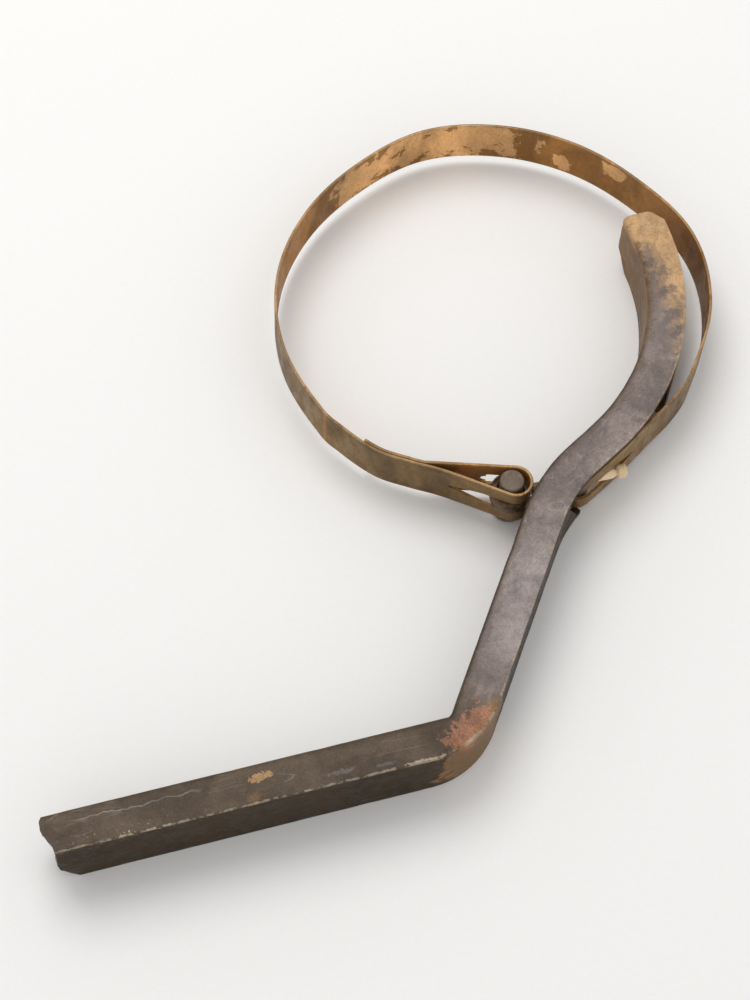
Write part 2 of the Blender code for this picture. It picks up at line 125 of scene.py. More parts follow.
def length(name, description, default, high):
    return FloatProperty(name=name, description=description, default=default, min=0.0, max=high,
                         unit="LENGTH", precision=5)


def colour(name, description, default):
    return FloatVectorProperty(name=name, description=description, default=default, min=0.0, max=1.0,
                               size=3, subtype="COLOR")


class HandleSettings(bpy.types.PropertyGroup):
    left: length("Left half", "Width of the face left of the bar's centre line", 4.7 * MM, 0.01)
    right: length("Right half", "Width of the face right of the bar's centre line", 4.25 * MM, 0.01)
    wall: length("Wall", "Thickness of the channel's face and flanges", 2.0 * MM, 0.004)
    shoulder_width: length("Shoulder width", "How far the left edge's rounding runs in", 2.4 * MM, 0.004)
    shoulder_drop: length("Shoulder drop", "How far the left edge's rounding runs down", 1.4 * MM, 0.004)
    edge: length("Edge", "Rounding of the face's right edge", 0.3 * MM, 0.001)
    spacing: length("Spacing", "Distance between the rings of faces along the bar", 1.0 * MM, 0.01)
    dent_depth: length("Dent depth", "How deep the knocks in the bar go", 0.16 * MM, 0.001)
    face_colour: colour("Face", "Colour of the rubbed front face", (0.225, 0.182, 0.168))
    grip_colour: colour("Grip", "Colour of the front face along the grip", (0.102, 0.075, 0.055))
    # The flank colour is painted shade: the sides are made darker than the face's steel for how light falls
    # on them
    flank_shade_colour: colour("Flank", "Colour of the dark sides", (0.038, 0.021, 0.007))
    rust_colour: colour("Rust", "Colour of the rust patches", (0.43, 0.205, 0.125))
    jaw_colour: colour("Jaw", "Colour of the bare metal at the jaw", (0.62, 0.39, 0.2))


class StrapSettings(bpy.types.PropertyGroup):
    width: length("Width", "Width of the strap", 12.4 * MM, 0.03)
    gauge: length("Gauge", "Thickness of the strap", 0.65 * MM, 0.002)
    spacing: length("Spacing", "Distance between the rings of faces along the strap", 0.9 * MM, 0.01)
    weld_radius: length("Weld radius", "Radius of each spot-weld mark", 1.3 * MM, 0.004)
    tarnish_colour: colour("Tarnish", "Colour of the olive-brown tarnish", (0.235, 0.145, 0.06))
    bare_colour: colour("Bare metal", "Colour of the patches where the tarnish has gone", (0.82, 0.47, 0.2))


class PinSettings(bpy.types.PropertyGroup):
    radius: length("Radius", "Radius of both pins", 2.75 * MM, 0.01)
    head_radius: length("Head radius", "Radius of the left pin's peened head, at the back", 3.7 * MM, 0.01)
    segments: IntProperty(name="Segments", description="Faces round each pin", default=72, min=12, max=180)
    steel_colour: colour("Steel", "Colour of the pins", (0.20, 0.152, 0.12))


class DrawBoltSettings(bpy.types.PropertyGroup):
    radius: length("Radius", "Radius of the bolt's shank", 1.3 * MM, 0.005)
    eye_radius: length("Eye radius", "Outer radius of the bolt's eye", 4.7 * MM, 0.01)
    knob_radius: length("Knob radius", "Radius of the bolt's end knob", 1.65 * MM, 0.01)
    knob_start: length("Knob start", "Distance from the eye's centre to the knob", 24.8 * MM, 0.05)
    knob_length: length("Knob length", "Length of the knob", 2.5 * MM, 0.01)
    # The shank's outer end and the knob: rubbed bright steel with a painted shine on it
    rubbed_and_shine_colour: colour("Rubbed steel with painted shine", "Colour of the shank and the knob", (0.97, 0.74, 0.47))


class StageSettings(bpy.types.PropertyGroup):
    floor_colour: colour("Floor", "Colour of the floor", (0.93, 0.93, 0.93))
    key_power: FloatProperty(name="Key light", description="Power of the large overhead light",
                             default=4.3, min=0.0, max=100.0, subtype="POWER")
    fill_strength: FloatProperty(name="Fill", description="Strength of the light from all round",
                                 default=0.70, min=0.0, max=5.0)


# Node trees


class TreeMaker:
    """Adds nodes to a tree and wires them, from plain numbers, colours or other nodes' outputs."""

    def __init__(self, tree):
        self.tree = tree

    def add(self, kind, **settings):
        node = self.tree.nodes.new(kind)
        for key, value in settings.items():
            setattr(node, key, value)
        return node

    def wire(self, value, socket):
        if isinstance(value, bpy.types.NodeSocket):
            self.tree.links.new(value, socket)
        elif socket.type == "RGBA" and len(value) == 3:
            socket.default_value = (*value, 1.0)
        else:
            socket.default_value = value

    def maths(self, operation, first, second=0.0, third=0.0):
        node = self.add("ShaderNodeMath", operation=operation)
        for value, socket in zip((first, second, third), node.inputs):
            self.wire(value, socket)
        return node.outputs[0]

    def plus(self, first, second):
        return self.maths("ADD", first, second)

    def minus(self, first, second):
        return self.maths("SUBTRACT", first, second)

    def times(self, first, second):
        return self.maths("MULTIPLY", first, second)

    def vector_maths(self, operation, first, second=(0.0, 0.0, 0.0)):
        node = self.add("ShaderNodeVectorMath", operation=operation)
        self.wire(first, node.inputs[0])
        self.wire(second, node.inputs["Scale"] if operation == "SCALE" else node.inputs[1])
        return node.outputs["Value"] if operation in ("LENGTH", "DISTANCE") else node.outputs["Vector"]

    def step(self, value, start, end, low=0.0, high=1.0):
        """Rises smoothly from low at start to high at end."""
        node = self.add("ShaderNodeMapRange", interpolation_type="SMOOTHSTEP")
        for part, name in ((value, "Value"), (start, "From Min"), (end, "From Max"), (low, "To Min"),
                           (high, "To Max")):
            self.wire(part, node.inputs[name])
        return node.outputs["Result"]

    def noise(self, vector, scale, detail=3.0, roughness=0.55, distortion=0.0):
        node = self.add("ShaderNodeTexNoise", noise_dimensions="3D", normalize=True)
        for part, name in ((vector, "Vector"), (scale, "Scale"), (detail, "Detail"),
                           (roughness, "Roughness"), (distortion, "Distortion")):
            self.wire(part, node.inputs[name])
        return node.outputs["Fac"]

    def blend(self, factor, first, second, mode="MIX"):
        node = self.add("ShaderNodeMix", data_type="RGBA", blend_type=mode)
        self.wire(factor, node.inputs["Factor"])
        self.wire(first, node.inputs[6])
        self.wire(second, node.inputs[7])
        return node.outputs[2]

    def cover(self, tone, mask, share, over):
        """Lays a second tone over the first, where the mask is 1, by its share."""
        return self.blend(self.times(mask, share), tone, over)

    def split(self, vector):
        node = self.add("ShaderNodeSeparateXYZ")
        self.wire(vector, node.inputs[0])
        return node.outputs[0], node.outputs[1], node.outputs[2]

    def join(self, x, y, z):
        node = self.add("ShaderNodeCombineXYZ")
        for value, socket in zip((x, y, z), node.inputs):
            self.wire(value, socket)
        return node.outputs[0]

    def use(self, group, **values):
        """Places a shared group; its inputs are named with spaces where the keywords have underscores."""
        node = self.add("ShaderNodeGroup", node_tree=group)
        for key, value in values.items():
            self.wire(value, node.inputs[key.replace("_", " ")])
        return node

    def patch(self, position, centre, reach, raggedness=0.9, fineness=0.5):
        return self.use(patch_group(), Position=position, Centre=centre, Reach=reach,
                        Raggedness=raggedness, Fineness=fineness).outputs["Mask"]

    def wire_all(self, *wires):
        """Wires of (node, output, node, input)."""
        for source, output, target, socket in wires:
            self.wire(source.outputs[output], target.inputs[socket])


def made_once(name):
    """Marks a function that makes the node tree of this name, so that later calls find the first one."""
    def wrap(build):
        return lambda: bpy.data.node_groups.get(name) or build(name)
    return wrap


def new_group(name, kind, inputs, outputs):
    """A node group with named sockets: (maker, group input node, group output node, group)."""
    group = bpy.data.node_groups.new(name, kind)
    for socket_name, socket_type, default in inputs:
        socket = group.interface.new_socket(socket_name, in_out="INPUT", socket_type=socket_type)
        if default is not None:
            socket.default_value = default
    for socket_name, socket_type in outputs:
        group.interface.new_socket(socket_name, in_out="OUTPUT", socket_type=socket_type)
    maker = TreeMaker(group)
    return maker, maker.add("NodeGroupInput"), maker.add("NodeGroupOutput"), group


@made_once("Patina")
def patina_group(name):
    """Cloudy stains and fine grain, for colour, gloss and bump. The position is in millimetres."""
    inputs = [("Position", "NodeSocketVector", None), ("Cloud size", "NodeSocketFloat", 12.0),
              ("Grain size", "NodeSocketFloat", 0.5)]
    outputs = [("Clouds", "NodeSocketFloat"), ("Mottle", "NodeSocketFloat"), ("Grain", "NodeSocketFloat")]
    make, given, result, group = new_group(name, "ShaderNodeTree", inputs, outputs)
    cloud_scale = make.maths("DIVIDE", 1.0, given.outputs["Cloud size"])
    grain_scale = make.maths("DIVIDE", 1.0, given.outputs["Grain size"])
    place = given.outputs["Position"]
    clouds = make.noise(place, cloud_scale, 4.0, 0.6, 0.6)
    mottle = make.noise(place, make.times(cloud_scale, 5.0), 4.0, 0.65, 0.3)
    grain = make.noise(place, grain_scale, 3.0, 0.7)
    make.wire(make.step(clouds, 0.3, 0.7), result.inputs["Clouds"])
    make.wire(make.step(mottle, 0.3, 0.7), result.inputs["Mottle"])
    make.wire(grain, result.inputs["Grain"])
    return group


@made_once("Ragged patch")
def patch_group(name):
    """A ragged patch round a centre. Position, centre and reach are in millimetres."""
    inputs = [("Position", "NodeSocketVector", None), ("Centre", "NodeSocketVector", None),
              ("Reach", "NodeSocketVector", (5.0, 5.0, 5.0)), ("Raggedness", "NodeSocketFloat", 1.0),
              ("Fineness", "NodeSocketFloat", 0.6)]
    make, given, result, group = new_group(name, "ShaderNodeTree", inputs, [("Mask", "NodeSocketFloat")])
    away = make.vector_maths("SUBTRACT", given.outputs["Position"], given.outputs["Centre"])
    distance = make.vector_maths("LENGTH", make.vector_maths("DIVIDE", away, given.outputs["Reach"]))
    tatters = make.noise(given.outputs["Position"], given.outputs["Fineness"], 5.0, 0.65, 0.4)
    push = make.times(make.minus(tatters, 0.5), given.outputs["Raggedness"])
    edge = make.plus(distance, make.times(push, 3.0))
    make.wire(make.step(edge, 1.12, 0.88), result.inputs["Mask"])
    return group


@made_once("Rubbed edge")
def rubbed_edge_group(name):
    """A bright, broken line along an edge, from how far a point lies from it, in millimetres."""
    inputs = [("Position", "NodeSocketVector", None), ("Distance", "NodeSocketFloat", 1.0),
              ("Width", "NodeSocketFloat", 0.5), ("Breaks", "NodeSocketFloat", 0.5)]
    make, given, result, group = new_group(name, "ShaderNodeTree", inputs, [("Mask", "NodeSocketFloat")])
    breaks = make.noise(given.outputs["Position"], 0.35, 4.0, 0.7)
    bare_from = make.times(given.outputs["Breaks"], 0.9)
    gaps = make.step(breaks, bare_from, make.plus(bare_from, 0.12))
    wobble = make.step(make.noise(given.outputs["Position"], 1.1, 3.0, 0.6), 0.2, 0.8, 0.45, 1.5)
    width = make.times(given.outputs["Width"], wobble)
    line = make.step(given.outputs["Distance"], width, make.times(width, 0.45))
    make.wire(make.times(line, gaps), result.inputs["Mask"])
    return group


def new_material(name):
    """A material with its shader, and the millimetre positions that its patterns read."""
    material = bpy.data.materials.new(name)
    material.use_nodes = True
    make = TreeMaker(material.node_tree)
    shader = material.node_tree.nodes["Principled BSDF"]
    place = make.vector_maths("SCALE", make.add("ShaderNodeTexCoord").outputs["Object"], 1 / MM)
    return material, make, shader, place


def track_of(make):
    """How far along, how far across and how high a point lies on a bar or strap, in millimetres."""
    node = make.add("ShaderNodeAttribute", attribute_type="GEOMETRY", attribute_name="track")
    track = make.vector_maths("SCALE", node.outputs["Vector"], 1 / MM)
    return (track, *make.split(track))


def paint(make, shader, tone, shade):
    """Base colour: a tone made lighter and darker by a grey shade."""
    shaded = make.blend(1.0, tone, make.join(shade, shade, shade), "MULTIPLY")
    make.wire(shaded, shader.inputs["Base Color"])


def bump(make, shader, height, depth):
    node = make.add("ShaderNodeBump")
    node.inputs["Distance"].default_value = depth
    make.wire(height, node.inputs["Height"])
    make.wire(node.outputs["Normal"], shader.inputs["Normal"])


def contour_line(make, vector, scale, width):
    """Thin wandering lines, where a slow noise crosses its middle value."""
    field = make.noise(vector, scale, 1.0, 0.5, 0.6)
    off_middle = make.maths("ABSOLUTE", make.minus(field, 0.5))
    return make.step(off_middle, width, 0.0)


def bar_tone(bar, settings):
    """The face dark along the grip and rubbed grey beyond the elbow, with a painted sheen along the shank;
    the sides dark with painted shade, browner towards the jaw.
    """
    make, along = bar.make, bar.along
    rubbed = make.times(make.step(along, 86.0, 108.0), make.step(along, 214.0, 198.0, 0.7, 1.0))
    face_tone = make.blend(rubbed, settings.grip_colour, settings.face_colour)
    # Painted sheen: a paler tone on the face along the shank
    painted_sheen = make.times(make.step(along, 97.0, 112.0), make.step(along, 150.0, 128.0))
    face_tone = make.cover(face_tone, painted_sheen, 0.75, (0.33, 0.285, 0.275))
    # Sides: dark with painted shade, turning to the jaw's real brown towards the tip
    browner = make.step(make.plus(along, make.times(bar.wander, 6.0)), 176.0, 206.0)
    side_shade_and_brown = make.blend(browner, settings.flank_shade_colour, (0.225, 0.115, 0.042))
    tone = make.blend(bar.face, side_shade_and_brown, face_tone)

    # Painted light on the elbow's flank, where light falls on the bend, and painted shade along the rounded
    # left of the face
    elbow_flank_light = make.patch(bar.track, (91.0, -4.3, 9.0), (9.0, 3.0, 13.0), 0.8, 0.25)
    tone = make.cover(tone, elbow_flank_light, 0.8, (0.25, 0.135, 0.055))
    # Painted shade on the rounded left shoulder of the face
    left_shoulder_shade = make.step(make.plus(bar.across, make.times(bar.wander, 0.8)), 2.0, 3.6)
    return make.cover(tone, left_shoulder_shade, 0.5, (0.095, 0.068, 0.045))


def rust_and_jaw(bar, tone, settings):
    """Rust on the outside of the elbow, a few small spots, and the bare jaw: (tone, rust, jaw)."""
    make, track = bar.make, bar.track
    rust = make.patch(track, (89.0, -1.8, 16.5), (5.2, 3.2, 3.5), 0.9, 0.55)
    rust = make.times(rust, make.step(bar.patina["Grain"], 0.3, 0.6, 0.55, 1.0))
    tone = make.cover(tone, rust, 0.8, settings.rust_colour)
    tan_spot = make.patch(track, (44.4, 1.3, 17.0), (2.3, 0.9, 1.5), 1.0, 1.2)
    tone = make.cover(tone, tan_spot, 0.8, (0.42, 0.26, 0.13))
    brown_spot = make.patch(track, (42.4, -3.0, 17.0), (1.4, 1.0, 1.5), 1.0, 1.0)
    tone = make.cover(tone, brown_spot, 0.4, (0.25, 0.14, 0.07))
    for centre, reach in (((61.5, -1.9, 17.0), (2.6, 0.5, 1.5)), ((71.0, -2.6, 17.0), (1.9, 0.4, 1.5))):
        tone = make.cover(tone, make.patch(track, centre, reach, 1.4, 0.9), 0.25, (0.30, 0.30, 0.32))

    reach = make.plus(make.plus(bar.along, make.times(bar.across, -2.8)), make.times(bar.wander, 6.0))
    jaw = make.times(make.step(reach, 200.0, 226.0), make.step(bar.height, 13.0, 16.5, 0.2, 1.0))
    jaw_tone = make.blend(make.times(bar.patina["Clouds"], 0.4), settings.jaw_colour, (0.27, 0.165, 0.08))
    tone = make.cover(tone, jaw, 0.92, jaw_tone)
    bruise = make.patch(track, (216.0, 1.9, 17.0), (8.0, 2.3, 3.0), 0.4, 0.3)
    return make.cover(tone, bruise, 0.45, (0.185, 0.13, 0.11)), rust, jaw


def edge_and_scratches(bar, tone):
    """Bright rubbed right edge, pale specks beside it, and long thin scratches: (tone, edge)."""
    make, along, place = bar.make, bar.along, bar.place
    from_edge = make.vector_maths("LENGTH", make.join(make.plus(bar.across, 4.25),
                                                      make.minus(bar.height, 17.0), 0.0))
    width = make.step(make.maths("ABSOLUTE", make.minus(along, 84.0)), 20.0, 2.0, 0.45, 0.95)
    edge = make.use(rubbed_edge_group(), Position=place, Distance=from_edge, Width=width,
                    Breaks=0.48).outputs["Mask"]
    edge_tone = make.blend(make.step(along, 150.0, 205.0), (0.42, 0.34, 0.265), (0.55, 0.38, 0.22))
    tone = make.cover(tone, edge, 0.85, edge_tone)

    near_end = make.step(along, 42.0, 12.0)
    specks = make.step(make.noise(place, 1.6, 2.0, 0.5), make.step(near_end, 0.0, 1.0, 0.70, 0.60), 0.78)
    specks = make.times(specks, make.step(from_edge, make.step(near_end, 0.0, 1.0, 2.2, 3.6), 0.4))
    tone = make.cover(tone, specks, 0.8, (0.5, 0.42, 0.33))

    scratches = contour_line(make, make.vector_maths("MULTIPLY", bar.track, (0.10, 0.8, 0.8)), 0.3, 0.010)
    scratches = make.times(scratches, make.step(make.noise(place, 0.07, 2.0), 0.46, 0.6))
    tone = make.cover(tone, make.times(scratches, bar.face), 0.3, (0.33, 0.29, 0.27))
    line = make.plus(bar.across, make.times(make.noise(place, 0.22, 2.0, 0.6), 3.2))
    line = make.step(make.maths("ABSOLUTE", make.minus(line, 3.4)), 0.22, 0.06)
    line = make.times(line, make.times(make.step(along, 3.5, 6.0), make.step(along, 33.0, 29.0)))
    return make.cover(tone, make.times(line, bar.face), 0.6, (0.27, 0.245, 0.235)), edge


def handle_steel(settings):
    material, make, shader, place = new_material("Worn dark steel")
    track, along, across, height = track_of(make)
    patina = make.use(patina_group(), Position=place, Cloud_size=14.0, Grain_size=0.45).outputs
    bar = SimpleNamespace(make=make, place=place, track=track, along=along, across=across, height=height,
                          patina=patina, wander=make.step(patina["Mottle"], 0.0, 1.0, -1.0, 1.0),
                          face=make.step(height, 16.2, 16.8))
    tone = bar_tone(bar, settings)
    tone, rust, jaw = rust_and_jaw(bar, tone, settings)
    tone, edge = edge_and_scratches(bar, tone)

    # Soft wandering ridges in the rubbed skin near the pivot
    near_pivot = make.patch(track, (150.0, 0.0, 17.0), (34.0, 8.0, 5.0), 0.4, 0.3)
    bent = make.vector_maths("MULTIPLY", track, (0.55, 1.0, 1.0))
    ridges = make.times(contour_line(make, bent, 0.24, 0.024), near_pivot)
    tone = make.cover(tone, make.times(ridges, bar.face), 0.3, (0.40, 0.345, 0.335))
    shade = make.step(patina["Clouds"], 0.0, 1.0, 0.8, 1.18)
    shade = make.times(shade, make.step(patina["Mottle"], 0.0, 1.0, 0.86, 1.14))
    shade = make.times(shade, make.step(patina["Grain"], 0.25, 0.75, 0.84, 1.16))
    paint(make, shader, tone, shade)

    # Gloss and relief
    gloss = make.step(patina["Mottle"], 0.0, 1.0, 0.38, 0.54)
    gloss = make.plus(gloss, make.times(make.maths("MAXIMUM", rust, jaw), 0.16))
    make.wire(gloss, shader.inputs["Roughness"])
    make.wire(make.step(edge, 0.0, 1.0, 0.1, 0.5), shader.inputs["Metallic"])
    shader.inputs["Specular IOR Level"].default_value = 0.12
    filing = make.maths("SINE", make.times(make.plus(along, make.times(patina["Mottle"], 0.5)), 7.0))
    filing = make.times(filing, make.times(jaw, 0.12))
    relief = make.plus(make.times(patina["Grain"], 0.35), make.times(patina["Mottle"], 0.5))
    relief = make.plus(make.plus(relief, make.times(ridges, 0.5)), filing)
    bump(make, shader, relief, 0.12 * MM)
    return material


def strap_metal(settings):
    material, make, shader, place = new_material("Tarnished strap")
    _, _, across, height = track_of(make)
    stretched = make.vector_maths("MULTIPLY", place, (1.0, 1.0, 0.6))
    patina = make.use(patina_group(), Position=stretched, Cloud_size=16.0, Grain_size=0.5).outputs
    shade = make.step(patina["Clouds"], 0.0, 1.0, 0.7, 1.25)
    shade = make.times(shade, make.step(patina["Grain"], 0.25, 0.75, 0.85, 1.15))
    x, y, _ = make.split(place)
    dx = make.minus(x, RING_CENTRE.x / MM)
    dy = make.minus(y, RING_CENTRE.y / MM)
    angle = make.times(make.maths("ARCTAN2", dy, dx), 180 / math.pi)
    inside = make.step(across, 0.05, -0.05)
    round_ring = make.join(angle, make.times(across, 3.0), height)
    tone = make.cover(settings.tarnish_colour, patina["Mottle"], 0.6, (0.16, 0.09, 0.036))
    tone = make.cover(tone, inside, 0.75, (0.38, 0.165, 0.035))
    for centre, reach, raggedness in (((104.0, -1.0, 9.5), (19.0, 6.0, 7.0), 1.3),
                                      ((132.0, -1.0, 9.0), (9.0, 6.0, 7.0), 1.2),
                                      ((56.0, -1.0, 12.0), (3.5, 6.0, 3.0), 1.2),
                                      ((72.0, -1.0, 6.0), (2.5, 6.0, 2.5), 1.2)):
        bare = make.times(make.patch(round_ring, centre, reach, raggedness, 0.2), inside)
        tone = make.cover(tone, bare, 0.85, settings.bare_colour)
    rim = make.maths("ABSOLUTE", make.minus(height, MID_HEIGHT / MM))
    from_rim = make.minus(settings.width / MM / 2, rim)
    edge = make.use(rubbed_edge_group(), Position=place, Distance=from_rim, Width=0.35,
                    Breaks=0.4).outputs["Mask"]
    tone = make.cover(tone, edge, 0.6, (0.42, 0.28, 0.15))
    paint(make, shader, tone, shade)
    make.wire(make.step(patina["Mottle"], 0.0, 1.0, 0.36, 0.55), shader.inputs["Roughness"])
    shader.inputs["Metallic"].default_value = 0.2
    shader.inputs["Specular IOR Level"].default_value = 0.15
    relief = make.plus(make.times(patina["Grain"], 0.5), make.times(patina["Mottle"], 0.5))
    bump(make, shader, relief, 0.06 * MM)
    return material


def pin_metal(settings):
    material, make, shader, place = new_material("Peened steel")
    patina = make.use(patina_group(), Position=place, Cloud_size=4.0, Grain_size=0.35).outputs
    tone = make.blend(patina["Clouds"], settings.steel_colour, (0.14, 0.105, 0.078))
    shade = make.step(patina["Grain"], 0.25, 0.75, 0.8, 1.2)
    paint(make, shader, tone, shade)
    make.wire(make.step(patina["Mottle"], 0.0, 1.0, 0.35, 0.55), shader.inputs["Roughness"])
    shader.inputs["Metallic"].default_value = 0.2
    shader.inputs["Specular IOR Level"].default_value = 0.25
    relief = make.plus(make.times(patina["Mottle"], 0.7), make.times(patina["Grain"], 0.3))
    bump(make, shader, relief, 0.09 * MM)
    return material


def bolt_metal(settings):
    material, make, shader, place = new_material("Rubbed steel with painted shine")
    patina = make.use(patina_group(), Position=place, Cloud_size=5.0, Grain_size=0.3).outputs
    from_eye = make.vector_maths("DISTANCE", place, (LEFT_PIN.x / MM, LEFT_PIN.y / MM, MID_HEIGHT / MM))
    from_eye = make.plus(from_eye, make.step(patina["Mottle"], 0.0, 1.0, -1.5, 1.5))
    tone = make.blend(make.step(from_eye, 4.0, 9.0), (0.085, 0.048, 0.024), (0.26, 0.165, 0.085))
    # Rubbed steel towards the knob, made brighter with a painted shine
    tone = make.blend(make.step(from_eye, 17.0, 21.0), tone, settings.rubbed_and_shine_colour)
    tone = make.cover(tone, patina["Clouds"], 0.3, (0.25, 0.16, 0.08))
    shade = make.step(patina["Grain"], 0.25, 0.75, 0.85, 1.15)
    paint(make, shader, tone, shade)
    make.wire(make.step(patina["Mottle"], 0.0, 1.0, 0.25, 0.45), shader.inputs["Roughness"])
    shader.inputs["Metallic"].default_value = 0.1
    shader.inputs["Specular IOR Level"].default_value = 0.3
    bump(make, shader, patina["Grain"], 0.05 * MM)
    return material


# Geometry Nodes


@made_once("Sweep")
def sweep_tree(name):
    """Runs a section along a line, with its Y axis down and its X axis to the right."""
    inputs = [("Geometry", "NodeSocketGeometry", None), ("Section", "NodeSocketObject", None),
              ("Spacing", "NodeSocketFloat", 1.0 * MM), ("Finish", "NodeSocketMaterial", None)]
    make, given, result, group = new_group(name, "GeometryNodeTree", inputs,
                                           [("Geometry", "NodeSocketGeometry")])
    even = make.add("GeometryNodeResampleCurve", mode="LENGTH")
    upright = make.add("GeometryNodeSetCurveNormal", mode="Z_UP")
    section = make.add("GeometryNodeObjectInfo", transform_space="ORIGINAL")
    sweep = make.add("GeometryNodeCurveToMesh")
    sweep.inputs["Fill Caps"].default_value = True
    real = make.add("GeometryNodeRealizeInstances")
    finish = make.add("GeometryNodeSetMaterial")
    make.wire_all((given, "Geometry", even, "Curve"), (given, "Spacing", even, "Length"),
                  (even, "Curve", upright, "Curve"), (given, "Section", section, "Object"),
                  (upright, "Curve", sweep, "Curve"), (section, "Geometry", sweep, "Profile Curve"),
                  (sweep, "Mesh", real, "Geometry"), (real, "Geometry", finish, "Geometry"),
                  (given, "Finish", finish, "Material"), (finish, "Geometry", result, "Geometry"))
    return group


@made_once("Spot welds")
def spot_weld_tree(name):
    """Puts a low round weld mark at every point, turned to the point's facing."""
    inputs = [("Geometry", "NodeSocketGeometry", None), ("Radius", "NodeSocketFloat", 1.3 * MM),
              ("Rise", "NodeSocketFloat", 0.1 * MM), ("Finish", "NodeSocketMaterial", None)]
    make, given, result, group = new_group(name, "GeometryNodeTree", inputs,
                                           [("Geometry", "NodeSocketGeometry")])
    ball = make.add("GeometryNodeMeshUVSphere")
    ball.inputs["Segments"].default_value = 28
    ball.inputs["Rings"].default_value = 12
    ball.inputs["Radius"].default_value = 1.0
    facing = make.add("GeometryNodeInputNamedAttribute", data_type="FLOAT_VECTOR")
    facing.inputs["Name"].default_value = "facing"
    turn = make.add("FunctionNodeAlignRotationToVector", axis="Z")
    size = make.add("ShaderNodeCombineXYZ")
    place = make.add("GeometryNodeInstanceOnPoints")
    real = make.add("GeometryNodeRealizeInstances")
    smooth = make.add("GeometryNodeSetShadeSmooth")
    finish = make.add("GeometryNodeSetMaterial")
    make.wire_all((given, "Radius", size, "X"), (given, "Radius", size, "Y"), (given, "Rise", size, "Z"),
                  (facing, "Attribute", turn, "Vector"), (given, "Geometry", place, "Points"),
                  (ball, "Mesh", place, "Instance"), (turn, "Rotation", place, "Rotation"),
                  (size, "Vector", place, "Scale"), (place, "Instances", real, "Geometry"),
                  (real, "Geometry", smooth, "Geometry"), (smooth, "Geometry", finish, "Geometry"),
                  (given, "Finish", finish, "Material"), (finish, "Geometry", result, "Geometry"))
    return group


def grow(source, tree, **values):
    """Runs a Geometry Nodes tree on an object and returns the plain mesh that it makes."""
    modifier = source.modifiers.new(tree.name, "NODES")
    modifier.node_group = tree
    sockets = {item.name: item.identifier for item in tree.interface.items_tree if item.in_out == "INPUT"}
    for key, value in values.items():
        modifier[sockets[key.replace("_", " ")]] = value
    bpy.context.view_layer.update()
    evaluated = source.evaluated_get(bpy.context.evaluated_depsgraph_get())
    mesh = bpy.data.meshes.new_from_object(evaluated)
    source.modifiers.remove(modifier)
    return mesh


# Shapes


def direction(angle):
    return Vector((math.cos(angle), math.sin(angle)))


def left_of(vector):
    return Vector((-vector.y, vector.x))


def at_height(point, height):
    return Vector((point.x, point.y, height))


def show(name, mesh):
    piece = bpy.data.objects.new(name, mesh)
    bpy.context.scene.collection.objects.link(piece)
    return piece


def line_object(name, points, cyclic=False):
    """A curve object of straight segments through 3-D points."""
    curve = bpy.data.curves.new(name, "CURVE")
    curve.dimensions = "3D"
    spline = curve.splines.new("POLY")
    spline.points.add(len(points) - 1)
    for point, place in zip(spline.points, points):
        point.co = (*place, 1.0)
    spline.use_cyclic_u = cyclic
    return show(name, curve)


def swept(name, line, section, settings, material):
    """A section run along a line at mid height, as a mesh of triangles facing outwards."""
    path = line_object(f"{name}_path", [at_height(point, MID_HEIGHT) for point in line])
    profile = line_object(f"{name}_section", [at_height(point, 0.0) for point in section], cyclic=True)
    mesh = grow(path, sweep_tree(), Section=profile, Spacing=settings.spacing, Finish=material)
    discard(path, profile)
    shape = bmesh.new()
    shape.from_mesh(mesh)
    bmesh.ops.remove_doubles(shape, verts=shape.verts, dist=1e-7)
    bmesh.ops.triangulate(shape, faces=shape.faces)
    bmesh.ops.recalc_face_normals(shape, faces=shape.faces)
    shape.to_mesh(mesh)
    shape.free()
    return mesh


def discard(*objects):
    for obj in objects:
        bpy.data.objects.remove(obj, do_unlink=True)


def prism(name, loop, low, high, matrix=None):
    """A closed outline made solid between two heights, and then moved by the matrix."""
    shape = bmesh.new()
    bottom = [shape.verts.new((point[0], point[1], low)) for point in loop]
    top = [shape.verts.new((point[0], point[1], high)) for point in loop]
    shape.faces.new(bottom[::-1])
    shape.faces.new(top)
    count = len(loop)
    for k in range(count):
        follow = (k + 1) % count
        shape.faces.new((bottom[k], bottom[follow], top[follow], top[k]))
    bmesh.ops.triangulate(shape, faces=shape.faces)
    if matrix is not None:
        bmesh.ops.transform(shape, matrix=matrix, verts=shape.verts)
    bmesh.ops.recalc_face_normals(shape, faces=shape.faces)
    mesh = bpy.data.meshes.new(name)
    shape.to_mesh(mesh)
    shape.free()
    return show(name, mesh)


def apply_booleans(piece, *steps):
    """Cuts or joins tool solids, one after another, on flat faces, and discards the tools."""
    for operation, tool in steps:
        modifier = piece.modifiers.new(tool.name, "BOOLEAN")
        modifier.operation = operation
        modifier.object = tool
        modifier.solver = "EXACT"
        flat = piece.modifiers.new("Flat faces", "TRIANGULATE")
        bpy.context.view_layer.update()
        mesh = bpy.data.meshes.new_from_object(piece.evaluated_get(bpy.context.evaluated_depsgraph_get()))
        piece.modifiers.remove(modifier)
        piece.modifiers.remove(flat)
        piece.data = mesh
        discard(tool)
        if not mesh.polygons:
            raise RuntimeError(f"nothing is left of {piece.name} after {operation}")


def tidy_mesh(mesh, merge=2e-6):
    """Merges doubles and closes hairline slits, and returns how many edges are still open."""
    shape = bmesh.new()
    shape.from_mesh(mesh)
    bmesh.ops.remove_doubles(shape, verts=shape.verts, dist=merge)
    bmesh.ops.holes_fill(shape, edges=[edge for edge in shape.edges if len(edge.link_faces) == 1], sides=4)
    open_edges = sum(1 for edge in shape.edges if len(edge.link_faces) != 2)
    shape.to_mesh(mesh)
    shape.free()
    return open_edges


